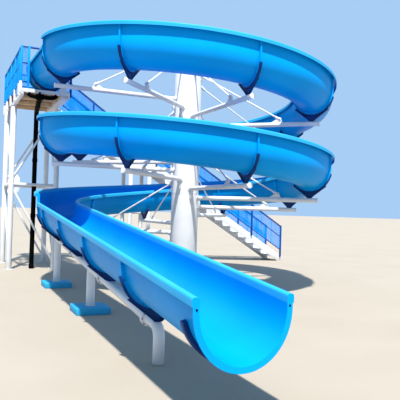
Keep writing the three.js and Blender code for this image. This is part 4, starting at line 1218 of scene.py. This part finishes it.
rail_x = DECK_RIGHT + SIDE_GAP
shapes, bays = railing([(rail_x, y, DECK_TOP) for y in RIGHT_POSTS], RAIL_HEIGHT, 0.09)
shapes += rail_post(rail_x, front, DECK_TOP - 0.09, rail_top + POST_CAP)
shapes.append(bar((rail_x, front, rail_top), (rail_x, RIGHT_POSTS[0], rail_top), 0.042, 0.042))
shapes.append(tube([(rail_x, front, rail_top), (return_x + RAIL_SIZE / 2, front, rail_top)],
                   RAIL_SIZE / 2))
add_railing("right_rail", "right_railing", shapes, bays, RAIL_HEIGHT)

back_y, back_posts = LANDING_BACK + SIDE_GAP, (LANDING_LEFT + 0.06, LANDING_RIGHT - 0.12)
line = [(x, back_y, LANDING_TOP) for x in back_posts]
shapes, bays = railing(line, STAIR_RAIL_HEIGHT, 0.05)
add_railing("back_rail", "back_railing", shapes, bays, STAIR_RAIL_HEIGHT)

# %% [markdown]
# On each side of the stair one railing goes down the upper flight, level along the middle landing
# and down the lower flight. The posts divide each flight evenly, so only its ends are given.

# %% Stair railings
def between(a, b, count):
    """Points that divide a line evenly, with both ends."""
    return [tuple(Vector(a).lerp(Vector(b), i / count)) for i in range(count + 1)]


STAIR_END = LOWER_START + LOWER_TREADS * GOING
top_x, left_x = LANDING_RIGHT + 0.04, MID_START + 0.04
right_x, end_x = LOWER_START - 0.02, STAIR_END - 0.06
top_z = LANDING_TOP - STAIR_PITCH * 0.04 - 0.02
end_z = MID_TOP - STAIR_PITCH * (end_x - LOWER_START + 0.02)
for name, y in (("near", STAIR_NEAR - 0.0288), ("far", STAIR_FAR + 0.0288)):
    line = between((top_x, y, top_z), (left_x, y, MID_TOP), 2)
    line += between((right_x, y, MID_TOP), (end_x, y, end_z), 4)
    shapes, bays = railing(line, STAIR_RAIL_HEIGHT, 0.07)
    add_railing(f"stair_rail_{name}", f"stair_railing_{name}", shapes, bays, STAIR_RAIL_HEIGHT)

# %% [markdown]
# The riser feeds the flume: a black polyethylene pipe that comes up beside the tower, bends
# forward under the deck and ends in a tee whose two ends turn up. Welded pipe has sleeves where
# lengths meet, and a clamp holds it to the brace of the tower. All of it is tubes on lines.

# %% Water riser
PIPE, SLEEVE, BRANCH, SLEEVE_LENGTH, SIDES = 0.055, 0.063, 0.046, 0.09, 32
SLEEVES, PIPE_BEND, UPTURN, BRANCH_ENDS = [0.02, 1.25, 2.6], 0.18, 0.06, (-3.1, -2.49)
foot_at, corner = Vector((-2.669, 3.2, 0)), Vector((-2.669, 3.2, 3.83))
tee = Vector((-2.85, DECK_FRONT - 0.07, 3.895))
forward = (tee - corner).normalized()


def upturned(x, way):
    """The end of a branch, from its open top to where it runs level."""
    y, z = tee.y, tee.z
    return bend_between(Vector((x, y, z + UPTURN)), Vector((x + way * UPTURN, y, z)),
                        Vector((x + way * 2.5 * UPTURN, y, z)), 12)


bend = bend_between(lifted(corner, -PIPE_BEND), corner, corner + forward * PIPE_BEND, 12)
path = [foot_at, *bend, tee]
branches = [*upturned(BRANCH_ENDS[0], 1), *reversed(upturned(BRANCH_ENDS[1], -1))]
shapes = [tube(path, PIPE, SIDES), tube(branches, BRANCH, SIDES)]
for low in SLEEVES:
    ends = [lifted(foot_at, low), lifted(foot_at, low + SLEEVE_LENGTH)]
    shapes.append(tube(ends, SLEEVE, SIDES))
shapes += [tube([tee - forward * 0.16, tee - forward * 0.06], SLEEVE, SIDES),
           tube([tee - ACROSS * 0.08, tee + ACROSS * 0.08], SLEEVE, SIDES),
           slab(tee.x - 0.018, tee.x + 0.018, tee.y - 0.01, DECK_FRONT, tee.z + 0.02,
                DECK_TOP - 0.065)]
fit(piece_of("water_pipe", shapes, [pipe_black], STEEL_EDGE), "pipe_plastic", "water_riser")

clamp = [disc(PIPE + 0.006, BRACE - 0.02, BRACE + 0.02, corner.x, corner.y, SIDES),
         slab(corner.x - 0.02, corner.x + 0.02, FRONT, corner.y, BRACE - 0.004, BRACE + 0.004)]
fit(piece_of("pipe_clamp", clamp, [zinc], 0.001), "painted_steel")

# %% [markdown]
# The tower stands on a plain pale floor, which only the pictures need. A small plinth would cut
# the shadows at its edge, so it is a slab wide enough to carry them all and to meet the sky, and
# nothing on it draws the eye.

# %% Floor
FLOOR_REACH, FLOOR_DEPTH = 400, 0.05


def floor_material():
    """Smooth screed. To the eye: pale, matt and even, with faint clouds 1.7 m wide."""
    material, tree, shader, where = new_material("pale_floor")
    cloud = noise(tree, where, 0.6, 5)
    surface(tree, shader, tint(tree, cloud, "978D7E", "9C9284"), cloud, (0.7, 0.85),
            noise(tree, where, 40, 3), 0.0005, 0.2)
    return material


floor = piece_of("floor", [block(0, 0, FLOOR_REACH, -FLOOR_DEPTH, 0)], [floor_material()])
print("floor", 2 * FLOOR_REACH, "m wide")

# %% [markdown]
# The sun stood high and almost straight behind the camera. A sun lamp gives its even light and,
# with a small angle, its crisp shadows; a large soft lamp would lose them. A pale blue world
# fills the shade, as the open sky does.

# %% Light
SKY, SUN_POWER, SUN_ANGLE, SUN_COLOUR = "A8CEF6", 8.5, 2, (1.0, 0.97, 0.92)
SUN_WAY = Vector((0.18, 0.47, -1.0))

scene = bpy.context.scene
scene.view_settings.view_transform = "Standard"
world = bpy.data.worlds.new("studio")
world.use_nodes = True
sky = world.node_tree.nodes["Background"]
sky.inputs["Color"].default_value = colour(SKY)
sky.inputs["Strength"].default_value = 1.0
scene.world = world

key = bpy.data.lights.new("key", "SUN")
key.energy = SUN_POWER
key.angle = math.radians(SUN_ANGLE)
key.color = SUN_COLOUR
key_light = bpy.data.objects.new("key", key)
key_light.rotation_euler = SUN_WAY.to_track_quat("-Z", "Y").to_euler()
scene.collection.objects.link(key_light)
print("sun", round(90 - math.degrees((-SUN_WAY).angle(Vector(UP)))), "degrees above the ground")

# %% [markdown]
# The camera stands where the picture was taken from. Its place, its turn and its lens were solved
# from the ellipses of the coil, the straight run and the feet of the posts, because a guess by
# eye would never lay the render over the photograph.

# %% Camera
AZIMUTH, PITCH_UP, ROLL = 0.4260, 0.0152, 0.0301
PHOTO_WIDTH, FOCAL_PIXELS, SENSOR, CAMERA_AT = 400, 563.37, 36.0, (-4.658, -11.048, 1.586)
level = Vector((math.sin(AZIMUTH), math.cos(AZIMUTH), 0))
right = Vector((math.cos(AZIMUTH), -math.sin(AZIMUTH), 0))
forward = level * math.cos(PITCH_UP) + Vector((0, 0, math.sin(PITCH_UP)))
up = right.cross(forward)
turned_right = right * math.cos(ROLL) + up * math.sin(ROLL)
turned_up = up * math.cos(ROLL) - right * math.sin(ROLL)
lens = bpy.data.cameras.new("photo")
lens.sensor_width = SENSOR
lens.lens = FOCAL_PIXELS / PHOTO_WIDTH * SENSOR
lens.clip_end = 200
camera = bpy.data.objects.new("photo", lens)
camera.matrix_world = Matrix((turned_right, turned_up, -forward)).transposed().to_4x4()
camera.location = CAMERA_AT
scene.collection.objects.link(camera)
scene.camera = camera
print("lens", round(lens.lens, 2), "mm")
